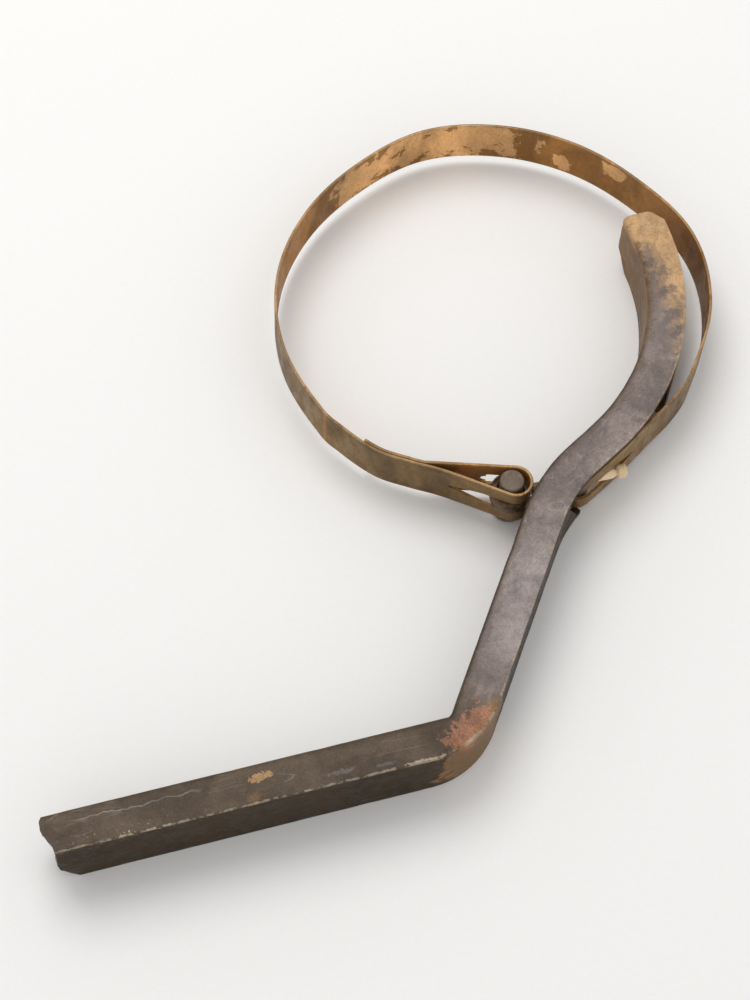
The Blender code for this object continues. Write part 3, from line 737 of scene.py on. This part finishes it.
def finish_piece(piece, material, smooth_angle=32.0):
    piece.data.materials.clear()
    piece.data.materials.append(material)
    piece.data.shade_smooth()
    piece.data.set_sharp_from_angle(angle=math.radians(smooth_angle))


def points_of(mesh):
    flat = np.empty(len(mesh.vertices) * 3)
    mesh.vertices.foreach_get("co", flat)
    return flat.reshape(-1, 3)


def set_points(mesh, points):
    mesh.vertices.foreach_set("co", np.ascontiguousarray(points, dtype=np.float32).ravel())
    mesh.update()


def locate(points, line):
    """Along, across (left is positive) and heading of each point, from the nearest place on a line."""
    line = np.array([(p.x, p.y) for p in line])
    steps = line[1:] - line[:-1]
    lengths = np.hypot(steps[:, 0], steps[:, 1])
    starts = np.concatenate(([0.0], np.cumsum(lengths)[:-1]))
    units = steps / lengths[:, None]
    away = points[:, None, :2] - line[None, :-1]
    reach = np.einsum("ijk,jk->ij", away, units)
    inside = np.clip(reach, 0.0, lengths)
    inside[:, 0] = np.minimum(reach[:, 0], lengths[0])
    inside[:, -1] = np.maximum(reach[:, -1], 0.0)
    foot = line[None, :-1] + inside[:, :, None] * units[None]
    distance = np.hypot(*np.moveaxis(points[:, None, :2] - foot, 2, 0))
    best = distance.argmin(axis=1)
    row = np.arange(len(points))
    side = units[best, 0] * away[row, best, 1] - units[best, 1] * away[row, best, 0]
    return starts[best] + inside[row, best], side, units[best]


def store_track(mesh, line):
    """Keeps how far along, how far across and how high each point is, for the material."""
    points = points_of(mesh)
    along, across, _ = locate(points, line)
    attribute = mesh.attributes.new("track", "FLOAT_VECTOR", "POINT")
    values = np.stack((along, across, points[:, 2]), axis=1)
    attribute.data.foreach_set("vector", values.astype(np.float32).ravel())


def arc(centre, radius, start, end, step):
    count = max(2, math.ceil(abs(end - start) / step))
    return [centre + direction(start + (end - start) * k / count) * radius for k in range(count + 1)]


def rounded_loop(corners, steps):
    """A closed outline with each corner (x, y, radius) rounded."""
    loop = []
    count = len(corners)
    for k, (x, y, radius) in enumerate(corners):
        here = Vector((x, y))
        before = (Vector(corners[k - 1][:2]) - here).normalized()
        after = (Vector(corners[(k + 1) % count][:2]) - here).normalized()
        if radius <= 0.0:
            loop.append(here)
            continue
        half_angle = before.angle(after) / 2
        reach = radius / math.tan(half_angle)
        middle = here + (before + after).normalized() * radius / math.sin(half_angle)
        first, last = here + before * reach - middle, here + after * reach - middle
        turn = first.angle_signed(last)
        for j in range(steps + 1):
            angle = -turn * j / steps
            rotated = Matrix.Rotation(angle, 2) @ first
            loop.append(middle + rotated)
    return loop


def subdivided(loop, longest):
    """The same closed outline with no side longer than a given length."""
    result = []
    for here, there in zip(loop, loop[1:] + loop[:1]):
        count = max(1, math.ceil((there - here).length / longest))
        result += [here.lerp(there, k / count) for k in range(count)]
    return result


def turned(name, profile, segments, matrix, unevenness=0.0, closed=False):
    """A profile of (radius, height) pairs turned about Z, a little uneven, as hand-finished work is."""
    shape = bmesh.new()
    rings = []
    for radius, height in profile:
        if radius < 1e-9:
            rings.append([shape.verts.new((0.0, 0.0, height))])
            continue
        ring = []
        for k in range(segments):
            angle = 2 * math.pi * k / segments
            across = Vector((math.cos(angle), math.sin(angle), 0.0))
            wobble = noise.noise(Vector((across.x * 1.7, across.y * 1.7, height / MM * 0.5))) * unevenness
            ring.append(shape.verts.new(across * (radius + wobble) + Vector((0, 0, height))))
        rings.append(ring)
    pairs = list(zip(rings, rings[1:]))
    if closed:
        pairs.append((rings[-1], rings[0]))
    for upper, lower in pairs:
        for k in range(segments):
            follow = (k + 1) % segments
            corners = [upper[k % len(upper)], lower[k % len(lower)], lower[follow % len(lower)],
                       upper[follow % len(upper)]]
            shape.faces.new(list(dict.fromkeys(corners)))
    bmesh.ops.transform(shape, matrix=matrix, verts=shape.verts)
    bmesh.ops.recalc_face_normals(shape, faces=shape.faces)
    mesh = bpy.data.meshes.new(name)
    shape.to_mesh(mesh)
    shape.free()
    return show(name, mesh)


# Strap


def between(p0, p1, p2, p3, t):
    """A smooth curve through four values or points in a row, a share t of the way from p1 to p2."""
    return 0.5 * (2 * p1 + (p2 - p0) * t + (2 * p0 - 5 * p1 + 4 * p2 - p3) * t**2
                  + (3 * p1 - 3 * p2 + p3 - p0) * t**3)


def ring_radius(angle_deg):
    """Radius of the hand-bent ring, smooth through the values of RING_RADII."""
    place = (angle_deg - RING_START_DEG) / RING_STEP_DEG
    index = min(max(int(math.floor(place)), 0), len(RING_RADII) - 2)
    t = place - index
    last = len(RING_RADII) - 1
    r0, r1, r2, r3 = (RING_RADII[min(max(index + k, 0), last)] for k in (-1, 0, 1, 2))
    return between(r0, r1, r2, r3, t)


def smooth_through(points, steps):
    """Points along a smooth curve through the given ones, without the first and last spans."""
    result = []
    for p0, p1, p2, p3 in zip(points, points[1:], points[2:], points[3:]):
        for k in range(steps):
            result.append(between(p0, p1, p2, p3, k / steps))
    result.append(points[-2])
    return result


def tangent_angle(centre, point, side):
    """Where a line from the point touches the loop, as an angle about the loop's centre."""
    reach = point - centre
    return math.atan2(reach.y, reach.x) + side * math.acos(LOOP_RADIUS / reach.length)


def outer_layer():
    """Centre line of the strap's long outer layer, from the left loop round to the right loop."""
    last = RING_START_DEG + RING_STEP_DEG * (len(RING_RADII) - 1)
    count = 264
    angles = [last + (RING_START_DEG - last) * k / count for k in range(count + 1)]
    ring = [direction(math.radians(a)) * ring_radius(a) for a in angles]
    left_touch = LEFT_LOOP - RING_CENTRE
    left_touch = left_touch + direction(tangent_angle(left_touch, LEFT_RUN_IN[-1], 1)) * LOOP_RADIUS
    right_touch = RIGHT_LOOP - RING_CENTRE
    right_touch = right_touch + direction(tangent_angle(right_touch, RIGHT_RUN_IN[-1], -1)) * LOOP_RADIUS
    left = [2 * left_touch - LEFT_RUN_IN[-1], left_touch, *reversed(LEFT_RUN_IN), ring[0], ring[24]]
    right = [ring[-25], ring[-1], *RIGHT_RUN_IN, right_touch, 2 * right_touch - RIGHT_RUN_IN[-1]]
    path = smooth_through(left, 8) + ring[1:-1] + smooth_through(right, 8)
    return [RING_CENTRE + point for point in path]


def tail(path, side, start, end):
    """Centre line of a folded-back end: beside a stretch of the outer layer's path."""
    travelled = 0.0
    points = []
    for here, there in zip(path, path[1:]):
        travelled += (there - here).length
        if start <= travelled <= end:
            along = (there - here).normalized()
            points.append(there + left_of(along) * side * LAYER_PITCH)
    return points


def nose(centre, start, end):
    """The strap's bend round a pin, clockwise between two angles."""
    return arc(centre, LOOP_RADIUS, start, start - (start - end) % (2 * math.pi), math.radians(10))


def strap_line():
    outer = outer_layer()
    left_tail = tail(outer, -1, *LEFT_TAIL)
    right_tail = tail(outer[::-1], 1, *RIGHT_TAIL)
    left_loop = nose(LEFT_LOOP, tangent_angle(LEFT_LOOP, left_tail[0], -1),
                     tangent_angle(LEFT_LOOP, outer[1], 1))
    right_loop = nose(RIGHT_LOOP, tangent_angle(RIGHT_LOOP, outer[-2], -1),
                      tangent_angle(RIGHT_LOOP, right_tail[0], 1))
    return left_tail[::-1] + left_loop[:-1] + outer + right_loop[1:] + right_tail, left_tail, right_tail


def slot_cutter(name, pin, heading, slot, side):
    """A tapered slot at mid width, from past the loop's nose back along the layer on one side.

    The heading runs from the pin back along the strap, and side +1 is the layer to its right.
    """
    half, wide_reach, reach, end_half = slot
    start = -(LOOP_RADIUS + 3 * MM)
    back_end = arc(Vector((reach - end_half, 0)), end_half, -math.pi / 2, math.pi / 2, math.radians(15))
    loop = [Vector((start, -half)), Vector((wide_reach, -half)), *back_end,
            Vector((wide_reach, half)), Vector((start, half))]
    upright = Matrix.Rotation(heading, 4, "Z") @ Matrix.Rotation(math.pi / 2, 4, "X")
    place = Matrix.Translation(at_height(pin, MID_HEIGHT)) @ upright
    low, high = sorted((-side * GAP, side * (LOOP_RADIUS + 3 * MM)))
    return prism(name, loop, low, high, place)


def weld_marks(tails, settings, material):
    """Two spot-weld marks on the inner face of each folded-back end."""
    places, facings = [], []
    for points, side in zip(tails, (-1, 1)):
        for share in (0.3, 0.72):
            index = int(share * (len(points) - 1))
            along = (points[index + 1] - points[index]).normalized()
            inward = left_of(along) * side
            places.append(at_height(points[index] + inward * settings.gauge * 0.5, MID_HEIGHT))
            facings.append((inward.x, inward.y, 0.0))
    mesh = bpy.data.meshes.new("weld_points")
    mesh.from_pydata([tuple(place) for place in places], [], [])
    attribute = mesh.attributes.new("facing", "FLOAT_VECTOR", "POINT")
    attribute.data.foreach_set("vector", [value for facing in facings for value in facing])
    source = show("weld_points", mesh)
    grown = grow(source, spot_weld_tree(), Radius=settings.weld_radius, Rise=0.09 * MM, Finish=material)
    discard(source)
    return show("spot_welds", grown)


class BANDWRENCH_OT_strap(bpy.types.Operator):
    """Bend the strap into its ring, fold its ends into slotted loops, and spot-weld them"""
    bl_idname = "bandwrench.strap"
    bl_label = "Strap"

    def execute(self, context):
        settings = context.scene.bandwrench_strap
        material = strap_metal(settings)
        line, *tails = strap_line()
        half_gauge, half_width = settings.gauge / 2, settings.width / 2
        rim = 0.16 * MM
        section = rounded_loop([(-half_gauge, -half_width, rim), (half_gauge, -half_width, rim),
                                (half_gauge, half_width, rim), (-half_gauge, half_width, rim)], 3)
        strap = show("strap", swept("strap", line, subdivided(section, 1.1 * MM), settings, material))
        apply_booleans(
            strap,
            ("DIFFERENCE", slot_cutter("left_inner_slot", LEFT_PIN, LEFT_HEADING, LEFT_INNER_SLOT, 1)),
            ("DIFFERENCE", slot_cutter("left_outer_slot", LEFT_PIN, LEFT_HEADING, LEFT_OUTER_SLOT, -1)),
            ("DIFFERENCE", slot_cutter("right_outer_slot", RIGHT_PIN, RIGHT_HEADING, RIGHT_OUTER_SLOT, 1)),
            ("DIFFERENCE", slot_cutter("right_inner_slot", RIGHT_PIN, RIGHT_HEADING, RIGHT_INNER_SLOT, -1)))
        report_open("strap", tidy_mesh(strap.data))
        store_track(strap.data, line)
        finish_piece(strap, material)
        welds = weld_marks(tails, settings, material)
        store_track(welds.data, line)
        for piece in (strap, welds):
            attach(piece, "strap")
        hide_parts("band")
        return {"FINISHED"}


def report_open(name, open_edges):
    if open_edges:
        raise RuntimeError(f"{name} has {open_edges} open edges")


# Handle


def handle_line():
    """Centre line of the handle, from the grip's end to the jaw's tip."""
    place, heading = HANDLE_START.copy(), HANDLE_HEADING
    line = [place]
    for size, turn in HANDLE_RUNS:
        size, turn = size * MM, math.radians(turn)
        if turn == 0.0:
            count = math.ceil(size / (1.0 * MM))
            line += [place + direction(heading) * size * k / count for k in range(1, count + 1)]
        else:
            side = math.copysign(1.0, turn)
            centre = place + left_of(direction(heading)) * side * size
            count = math.ceil(abs(turn) / math.radians(2.0))
            line += [centre - left_of(direction(heading + turn * k / count)) * side * size
                     for k in range(1, count + 1)]
        place, heading = line[-1], heading + turn
    return line


def handle_place(line, distance):
    """Point and direction at a distance along the line, also beyond its ends."""
    for here, there in zip(line, line[1:]):
        span = (there - here).length
        if distance <= span or there is line[-1]:
            unit = (there - here) / span
            return here + unit * distance, unit
        distance -= span
    raise ValueError("the line has no end")


def side_line(line, start, end, offset, count=24):
    places = [handle_place(line, start + (end - start) * k / count) for k in range(count + 1)]
    return [point + left_of(unit) * offset for point, unit in places]


def channel_section(settings):
    """Section of the open-backed channel: X to the right, Y down from mid height."""
    left, right, wall = -settings.left, settings.right, settings.wall
    low, high, under = MID_HEIGHT, -MID_HEIGHT, -MID_HEIGHT + wall
    foot, throat = 0.18 * MM, 0.5 * MM
    shoulder = []
    for k in range(SHOULDER_STEPS + 1):
        round_way = direction(math.pi / 2 * k / SHOULDER_STEPS)
        shoulder.append((left + settings.shoulder_width * (1 - round_way.x),
                         high + settings.shoulder_drop * (1 - round_way.y), 0.0))
    corners = [*shoulder, (right, high, settings.edge), (right, low, foot), (right - wall, low, foot),
               (right - wall, under, throat), (left + wall, under, throat), (left + wall, low, foot),
               (left, low, foot)]
    return subdivided(rounded_loop(corners, 6), 1.0 * MM)


def slope_cutter(line, settings, top):
    """The right flange's notch from the strap's back upwards: a step back, then a slope up into the face."""
    point, unit = handle_place(line, RIGHT_NOTCH[0])
    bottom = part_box("band")[0][2] - GAP
    wedge = [Vector((0.5 * MM, bottom)), Vector((0.5 * MM, top)),
             Vector((-RIGHT_NOTCH_STEP - RIGHT_NOTCH_SLANT, top)), Vector((-RIGHT_NOTCH_STEP, bottom))]
    upright = Matrix.Rotation(math.atan2(unit.y, unit.x), 4, "Z") @ Matrix.Rotation(math.pi / 2, 4, "X")
    place = Matrix.Translation(at_height(point, 0.0)) @ upright
    return prism("right_slope", wedge, 1.2 * MM, 2 * settings.right, place)


def notch_cutters(line, settings):
    """Cutters for both flanges' notches at the pivot, and the blind pocket for the pin's top."""
    wall = settings.wall
    low, top = -2 * MM, TOP - wall + 0.02 * MM
    tools = [slope_cutter(line, settings, top + 0.1 * MM)]
    for name, side, half, (start, end) in (("right_notch", -1, settings.right, RIGHT_NOTCH),
                                           ("left_notch", 1, settings.left, LEFT_NOTCH)):
        inner = side_line(line, start, end, side * (half - wall - 1 * MM))
        outer = side_line(line, start, end, side * (half + 2 * MM))
        tools.append(prism(name, inner + outer[::-1], low, top))
    pocket = arc(RIGHT_PIN, PIVOT_POCKET_RADIUS, 0.0, 2 * math.pi, math.radians(9))[:-1]
    tools.append(prism("pivot_pocket", pocket, TOP - 2 * wall, PIVOT_POCKET_TOP))
    return [("DIFFERENCE", tool) for tool in tools]


def sharpen_inside(points, along, across, units, settings):
    """Moves the left of the elbow inwards, so that both straight sides run on to a sharp corner."""
    grip, (radius, turn) = HANDLE_RUNS[0][0], HANDLE_RUNS[1]
    turn = math.radians(turn)
    turned = (along / MM - grip) / radius
    nearest = np.clip(np.minimum(turned, turn - turned), 0.0, None)
    left_inner, right_inner = settings.left - settings.wall, settings.wall - settings.right
    share = np.clip((across - right_inner) / (left_inner - right_inner), 0.0, 1.0)
    inwards = (radius * MM - across) * (1 / np.cos(nearest) - 1) * share
    points[:, 0] += units[:, 1] * inwards
    points[:, 1] -= units[:, 0] * inwards


def wear_handle(mesh, line, settings):
    """Shapes the battered ends, and knocks and dents the bar, always inwards."""
    points = points_of(mesh)
    along, across, units = locate(points, line)
    sharpen_inside(points, along, across, units, settings)
    total = sum((there - here).length for here, there in zip(line, line[1:]))
    across_mm, height_mm = across / MM, points[:, 2] / MM
    grip_clip = GRIP_CLIP[0] * (1 - height_mm / GRIP_CLIP[1]) - 1.0
    tip_clip = TIP_PROFILE[-1][1] - TIP_CLIP[0] * (1 - height_mm / TIP_CLIP[1])
    start_shape = np.interp(across_mm, *zip(*END_PROFILE))
    tip_shape = np.interp(across_mm, *zip(*TIP_PROFILE))
    ragged = np.array([noise.noise(Vector((a * 0.7, h * 0.5, 3.1))) for a, h in zip(across_mm, height_mm)])
    start_shift = np.maximum(start_shape, grip_clip) + 0.35 * ragged
    tip_shift = np.minimum(tip_shape, tip_clip) + 0.25 * ragged
    near_start = np.clip(1 - along / WORN_END, 0, 1) ** 1.5
    near_tip = np.clip(1 - (total - along) / WORN_END, 0, 1) ** 1.5
    shift = (start_shift * near_start + tip_shift * near_tip) * MM
    points[:, :2] += units * shift[:, None]

    for k, (x, y, z) in enumerate(points):
        spot = Vector((x, y, z)) / MM
        knock = max(0.0, noise.noise(spot * 0.16) - 0.12) + 0.35 * max(0.0, noise.noise(spot * 0.6) - 0.1)
        depth = settings.dent_depth * knock
        front = np.clip((height_mm[k] - 16.0) / 1.0, 0, 1)
        points[k, 2] -= depth * front
        flank = settings.left if across_mm[k] > 0 else settings.right
        side = np.clip((abs(across_mm[k]) - flank / MM) / 0.35 + 1.0, 0, 1)
        inward = Vector((-units[k][1], units[k][0])) * (-math.copysign(1.0, across_mm[k]))
        points[k, :2] += np.array(inward) * depth * side
    set_points(mesh, points)


class BANDWRENCH_OT_handle(bpy.types.Operator):
    """Press the cranked channel handle, cut it away at the pivot, and wear it"""
    bl_idname = "bandwrench.handle"
    bl_label = "Handle"

    def execute(self, context):
        settings = context.scene.bandwrench_handle
        material = handle_steel(settings)
        line = handle_line()
        mesh = swept("handle", line, channel_section(settings), settings, material)
        wear_handle(mesh, line, settings)
        handle = show("handle_bar", mesh)
        apply_booleans(handle, *notch_cutters(line, settings))
        report_open("handle", tidy_mesh(handle.data))
        store_track(handle.data, line)
        finish_piece(handle, material)
        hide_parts("handle")
        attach(handle, "handle")
        return {"FINISHED"}


# Pins and draw bolt


def head_profile(settings, bottom):
    """The back head's outline, from its neck out and round to its middle."""
    radius, round_edge = settings.head_radius, 0.35 * MM
    top = bottom + PIN_HEAD_THICKNESS
    edge = arc(Vector((radius - round_edge, bottom + round_edge)), round_edge, 0.0, -math.pi / 2,
               math.radians(18))
    return [(radius - 0.1 * MM, top), (radius, top - 0.15 * MM), *[(p.x, p.y) for p in edge],
            (radius * 0.5, bottom), (0.0, bottom)]


class BANDWRENCH_OT_pins(bpy.types.Operator):
    """Turn the two pins, and peen both ends of the left one"""
    bl_idname = "bandwrench.pins"
    bl_label = "Pins"

    def execute(self, context):
        settings = context.scene.bandwrench_pins
        material = pin_metal(settings)
        radius, round_edge = settings.radius, 0.45 * MM
        low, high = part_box("left_pin")[0][2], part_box("left_pin")[1][2]
        edge = arc(Vector((radius - round_edge, high - round_edge)), round_edge, math.pi / 2, 0.0,
                   math.radians(15))
        rings = [(0.0, high - 0.06 * MM), (0.7 * MM, high - 0.05 * MM), (1.4 * MM, high - 0.02 * MM)]
        profile = [*rings, *[(p.x, p.y) for p in edge], (radius, low + PIN_HEAD_THICKNESS),
                   *head_profile(settings, low)]
        left = turned("left_pin_body", profile, settings.segments,
                      Matrix.Translation(at_height(LEFT_PIN, 0)), 0.05 * MM)
        pit_top(left.data, LEFT_PIN, high)
        low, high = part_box("right_pin")[0][2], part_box("right_pin")[1][2]
        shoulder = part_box("band")[1][2]
        chamfer = 0.2 * MM
        profile = [(0.0, high), (SPIGOT_RADIUS - chamfer, high), (SPIGOT_RADIUS, high - chamfer),
                   (SPIGOT_RADIUS, shoulder), (radius - chamfer, shoulder), (radius, shoulder - chamfer),
                   (radius, low + round_edge), (radius - 0.15 * MM, low + 0.15 * MM),
                   (radius - round_edge, low), (0.0, low)]
        right = turned("right_pin_body", profile, settings.segments,
                       Matrix.Translation(at_height(RIGHT_PIN, 0)))
        reach = 2 * radius
        bore = context.scene.bandwrench_bolt.radius + GAP
        hole = [(0.0, reach), (bore, reach), (bore, -reach), (0.0, -reach)]
        place = Matrix.Translation(at_height(RIGHT_PIN, MID_HEIGHT)) @ bolt_axis()
        apply_booleans(right, ("DIFFERENCE", turned("bolt_hole", hole, 40, place)))
        report_open("right pin", tidy_mesh(right.data))
        for piece, node, body in ((left, "left_pin", "left_pin"), (right, "right_pin", "link")):
            finish_piece(piece, material, 40.0)
            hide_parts(node)
            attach(piece, body)
        return {"FINISHED"}


def pit_top(mesh, pin, top):
    """Uneven peened top, with a small punched pit."""
    points = points_of(mesh)
    pit = pin + Vector((-0.9, -1.2)) * MM
    for k, (x, y, z) in enumerate(points):
        if z > top - 0.6 * MM:
            spot = Vector((x, y, z)) / MM
            distance = math.hypot(x - pit.x, y - pit.y) / MM
            points[k, 2] -= 0.05 * MM * (0.5 + 0.5 * noise.noise(spot * 0.9))
            points[k, 2] -= 0.10 * MM * math.exp(-(distance / 0.35) ** 2)
    set_points(mesh, points)


def bolt_axis():
    """Turns +Z to lie along the draw bolt, from the left pin to the right one."""
    reach = RIGHT_PIN - LEFT_PIN
    return Matrix.Rotation(math.atan2(reach.y, reach.x), 4, "Z") @ Matrix.Rotation(math.pi / 2, 4, "Y")


class BANDWRENCH_OT_draw_bolt(bpy.types.Operator):
    """Forge the draw bolt: an eye round the left pin, a shank and an end knob"""
    bl_idname = "bandwrench.draw_bolt"
    bl_label = "Draw bolt"

    def execute(self, context):
        settings = context.scene.bandwrench_bolt
        material = bolt_metal(settings)
        low, high = MID_HEIGHT - EYE_THICKNESS / 2, MID_HEIGHT + EYE_THICKNESS / 2
        hole = context.scene.bandwrench_pins.radius + GAP
        section = rounded_loop([(hole, low, 0.3 * MM), (settings.eye_radius, low, 0.9 * MM),
                                (settings.eye_radius, high, 0.9 * MM), (hole, high, 0.3 * MM)], 5)
        bolt = turned("draw_bolt_body", [(p.x, p.y) for p in section], 64,
                      Matrix.Translation(at_height(LEFT_PIN, 0)), 0.0, closed=True)
        start, knob = settings.knob_start, settings.knob_radius
        end = start + settings.knob_length
        round_edge, neck = 0.7 * MM, settings.radius - 0.35 * MM
        crown = arc(Vector((end - round_edge, knob - round_edge)), round_edge, 0.0, math.pi / 2,
                    math.radians(15))
        heel = arc(Vector((start + round_edge, knob - round_edge)), round_edge, math.pi / 2, math.pi,
                   math.radians(15))
        root = settings.eye_radius - 0.9 * MM
        profile = [(0.0, end)] + [(p.y, p.x) for p in crown + heel]
        profile += [(neck, start + 0.05 * MM), (neck, start - 0.35 * MM),
                    (settings.radius - 0.08 * MM, start - 0.75 * MM),
                    (settings.radius, start - 1.3 * MM), (settings.radius, root + 3.0 * MM),
                    (settings.radius, root), (0.0, root)]
        place = Matrix.Translation(at_height(LEFT_PIN, MID_HEIGHT)) @ bolt_axis()
        shank = turned("bolt_shank", profile, 40, place)
        apply_booleans(bolt, ("UNION", shank))
        report_open("draw bolt", tidy_mesh(bolt.data))
        finish_piece(bolt, material, 40.0)
        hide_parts("draw_bolt")
        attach(bolt, "link")
        return {"FINISHED"}


# Stage


def area_light(name, place, target, size, power, tint):
    light = bpy.data.lights.new(name, "AREA")
    light.shape = "DISK"
    light.size = size
    light.energy = power
    light.color = tint
    lamp = bpy.data.objects.new(name, light)
    lamp.location = place
    lamp.rotation_euler = (target - place).to_track_quat("-Z", "Y").to_euler()
    bpy.context.scene.collection.objects.link(lamp)


class BANDWRENCH_OT_stage(bpy.types.Operator):
    """Lay the floor, hang the lights and set the camera"""
    bl_idname = "bandwrench.stage"
    bl_label = "Stage"

    def execute(self, context):
        settings = context.scene.bandwrench_stage
        shape = bmesh.new()
        bmesh.ops.create_grid(shape, x_segments=8, y_segments=8, size=3.0)
        mesh = bpy.data.meshes.new("floor")
        shape.to_mesh(mesh)
        shape.free()
        floor = show("floor", mesh)
        paper, make, shader, place = new_material("Pale paper")
        grain = make.noise(place, 0.8, 2.0, 0.5)
        paint(make, shader, settings.floor_colour, make.step(grain, 0.2, 0.8, 0.985, 1.0))
        shader.inputs["Roughness"].default_value = 0.9
        mesh.materials.append(paper)

        world = bpy.data.worlds.new("Soft room")
        world.use_nodes = True
        background = world.node_tree.nodes["Background"]
        background.inputs["Color"].default_value = (1.0, 0.99, 0.975, 1.0)
        background.inputs["Strength"].default_value = settings.fill_strength
        context.scene.world = world
        context.scene.view_settings.view_transform = "Standard"
        area_light("key", Vector((-0.25, 0.45, 0.9)), Vector(), 0.7, settings.key_power, (1.0, 0.98, 0.95))

        camera = bpy.data.cameras.new("camera")
        camera.lens = CAMERA_LENS_MM
        camera.sensor_width = CAMERA_SENSOR_MM
        camera.clip_start = 0.01
        viewer = bpy.data.objects.new("camera", camera)
        sight = Vector((0.0, math.cos(CAMERA_ELEVATION), -math.sin(CAMERA_ELEVATION)))
        up = Vector((0.0, math.sin(CAMERA_ELEVATION), math.cos(CAMERA_ELEVATION)))
        right = Vector((1.0, 0.0, 0.0))
        rolled_right = right * math.cos(CAMERA_ROLL) + up * math.sin(CAMERA_ROLL)
        rolled_up = up * math.cos(CAMERA_ROLL) - right * math.sin(CAMERA_ROLL)
        turn = Matrix((rolled_right, rolled_up, -sight)).transposed().to_4x4()
        viewer.matrix_world = Matrix.Translation(at_height(RING_CENTRE, MID_HEIGHT) + CAMERA_OFFSET) @ turn
        context.scene.collection.objects.link(viewer)
        context.scene.camera = viewer
        return {"FINISHED"}


class BANDWRENCH_PT_panel(bpy.types.Panel):
    """Lists the wrench's pieces and their settings"""
    bl_idname = "BANDWRENCH_PT_panel"
    bl_label = "Band Wrench"
    bl_space_type = "VIEW_3D"
    bl_region_type = "UI"
    bl_category = "Band Wrench"

    def draw(self, context):
        for operator, settings in zip(OPERATORS, SETTINGS):
            box = self.layout.box()
            box.operator(operator.bl_idname)
            group = getattr(context.scene, settings[0])
            for name in group.bl_rna.properties.keys():
                if name not in ("rna_type", "name"):
                    box.prop(group, name)


OPERATORS = (BANDWRENCH_OT_handle, BANDWRENCH_OT_strap, BANDWRENCH_OT_pins, BANDWRENCH_OT_draw_bolt,
             BANDWRENCH_OT_stage)
SETTINGS = (("bandwrench_handle", HandleSettings), ("bandwrench_strap", StrapSettings),
            ("bandwrench_pins", PinSettings), ("bandwrench_bolt", DrawBoltSettings),
            ("bandwrench_stage", StageSettings))


def register():
    for name, settings in SETTINGS:
        bpy.utils.register_class(settings)
        setattr(bpy.types.Scene, name, PointerProperty(type=settings))
    for operator in OPERATORS:
        bpy.utils.register_class(operator)
    bpy.utils.register_class(BANDWRENCH_PT_panel)


def unregister():
    bpy.utils.unregister_class(BANDWRENCH_PT_panel)
    for operator in reversed(OPERATORS):
        bpy.utils.unregister_class(operator)
    for name, settings in reversed(SETTINGS):
        delattr(bpy.types.Scene, name)
        bpy.utils.unregister_class(settings)


def main():
    register()
    bpy.ops.bandwrench.handle()
    bpy.ops.bandwrench.strap()
    bpy.ops.bandwrench.pins()
    bpy.ops.bandwrench.draw_bolt()
    bpy.ops.bandwrench.stage()


if __name__ == "__main__":
    main()
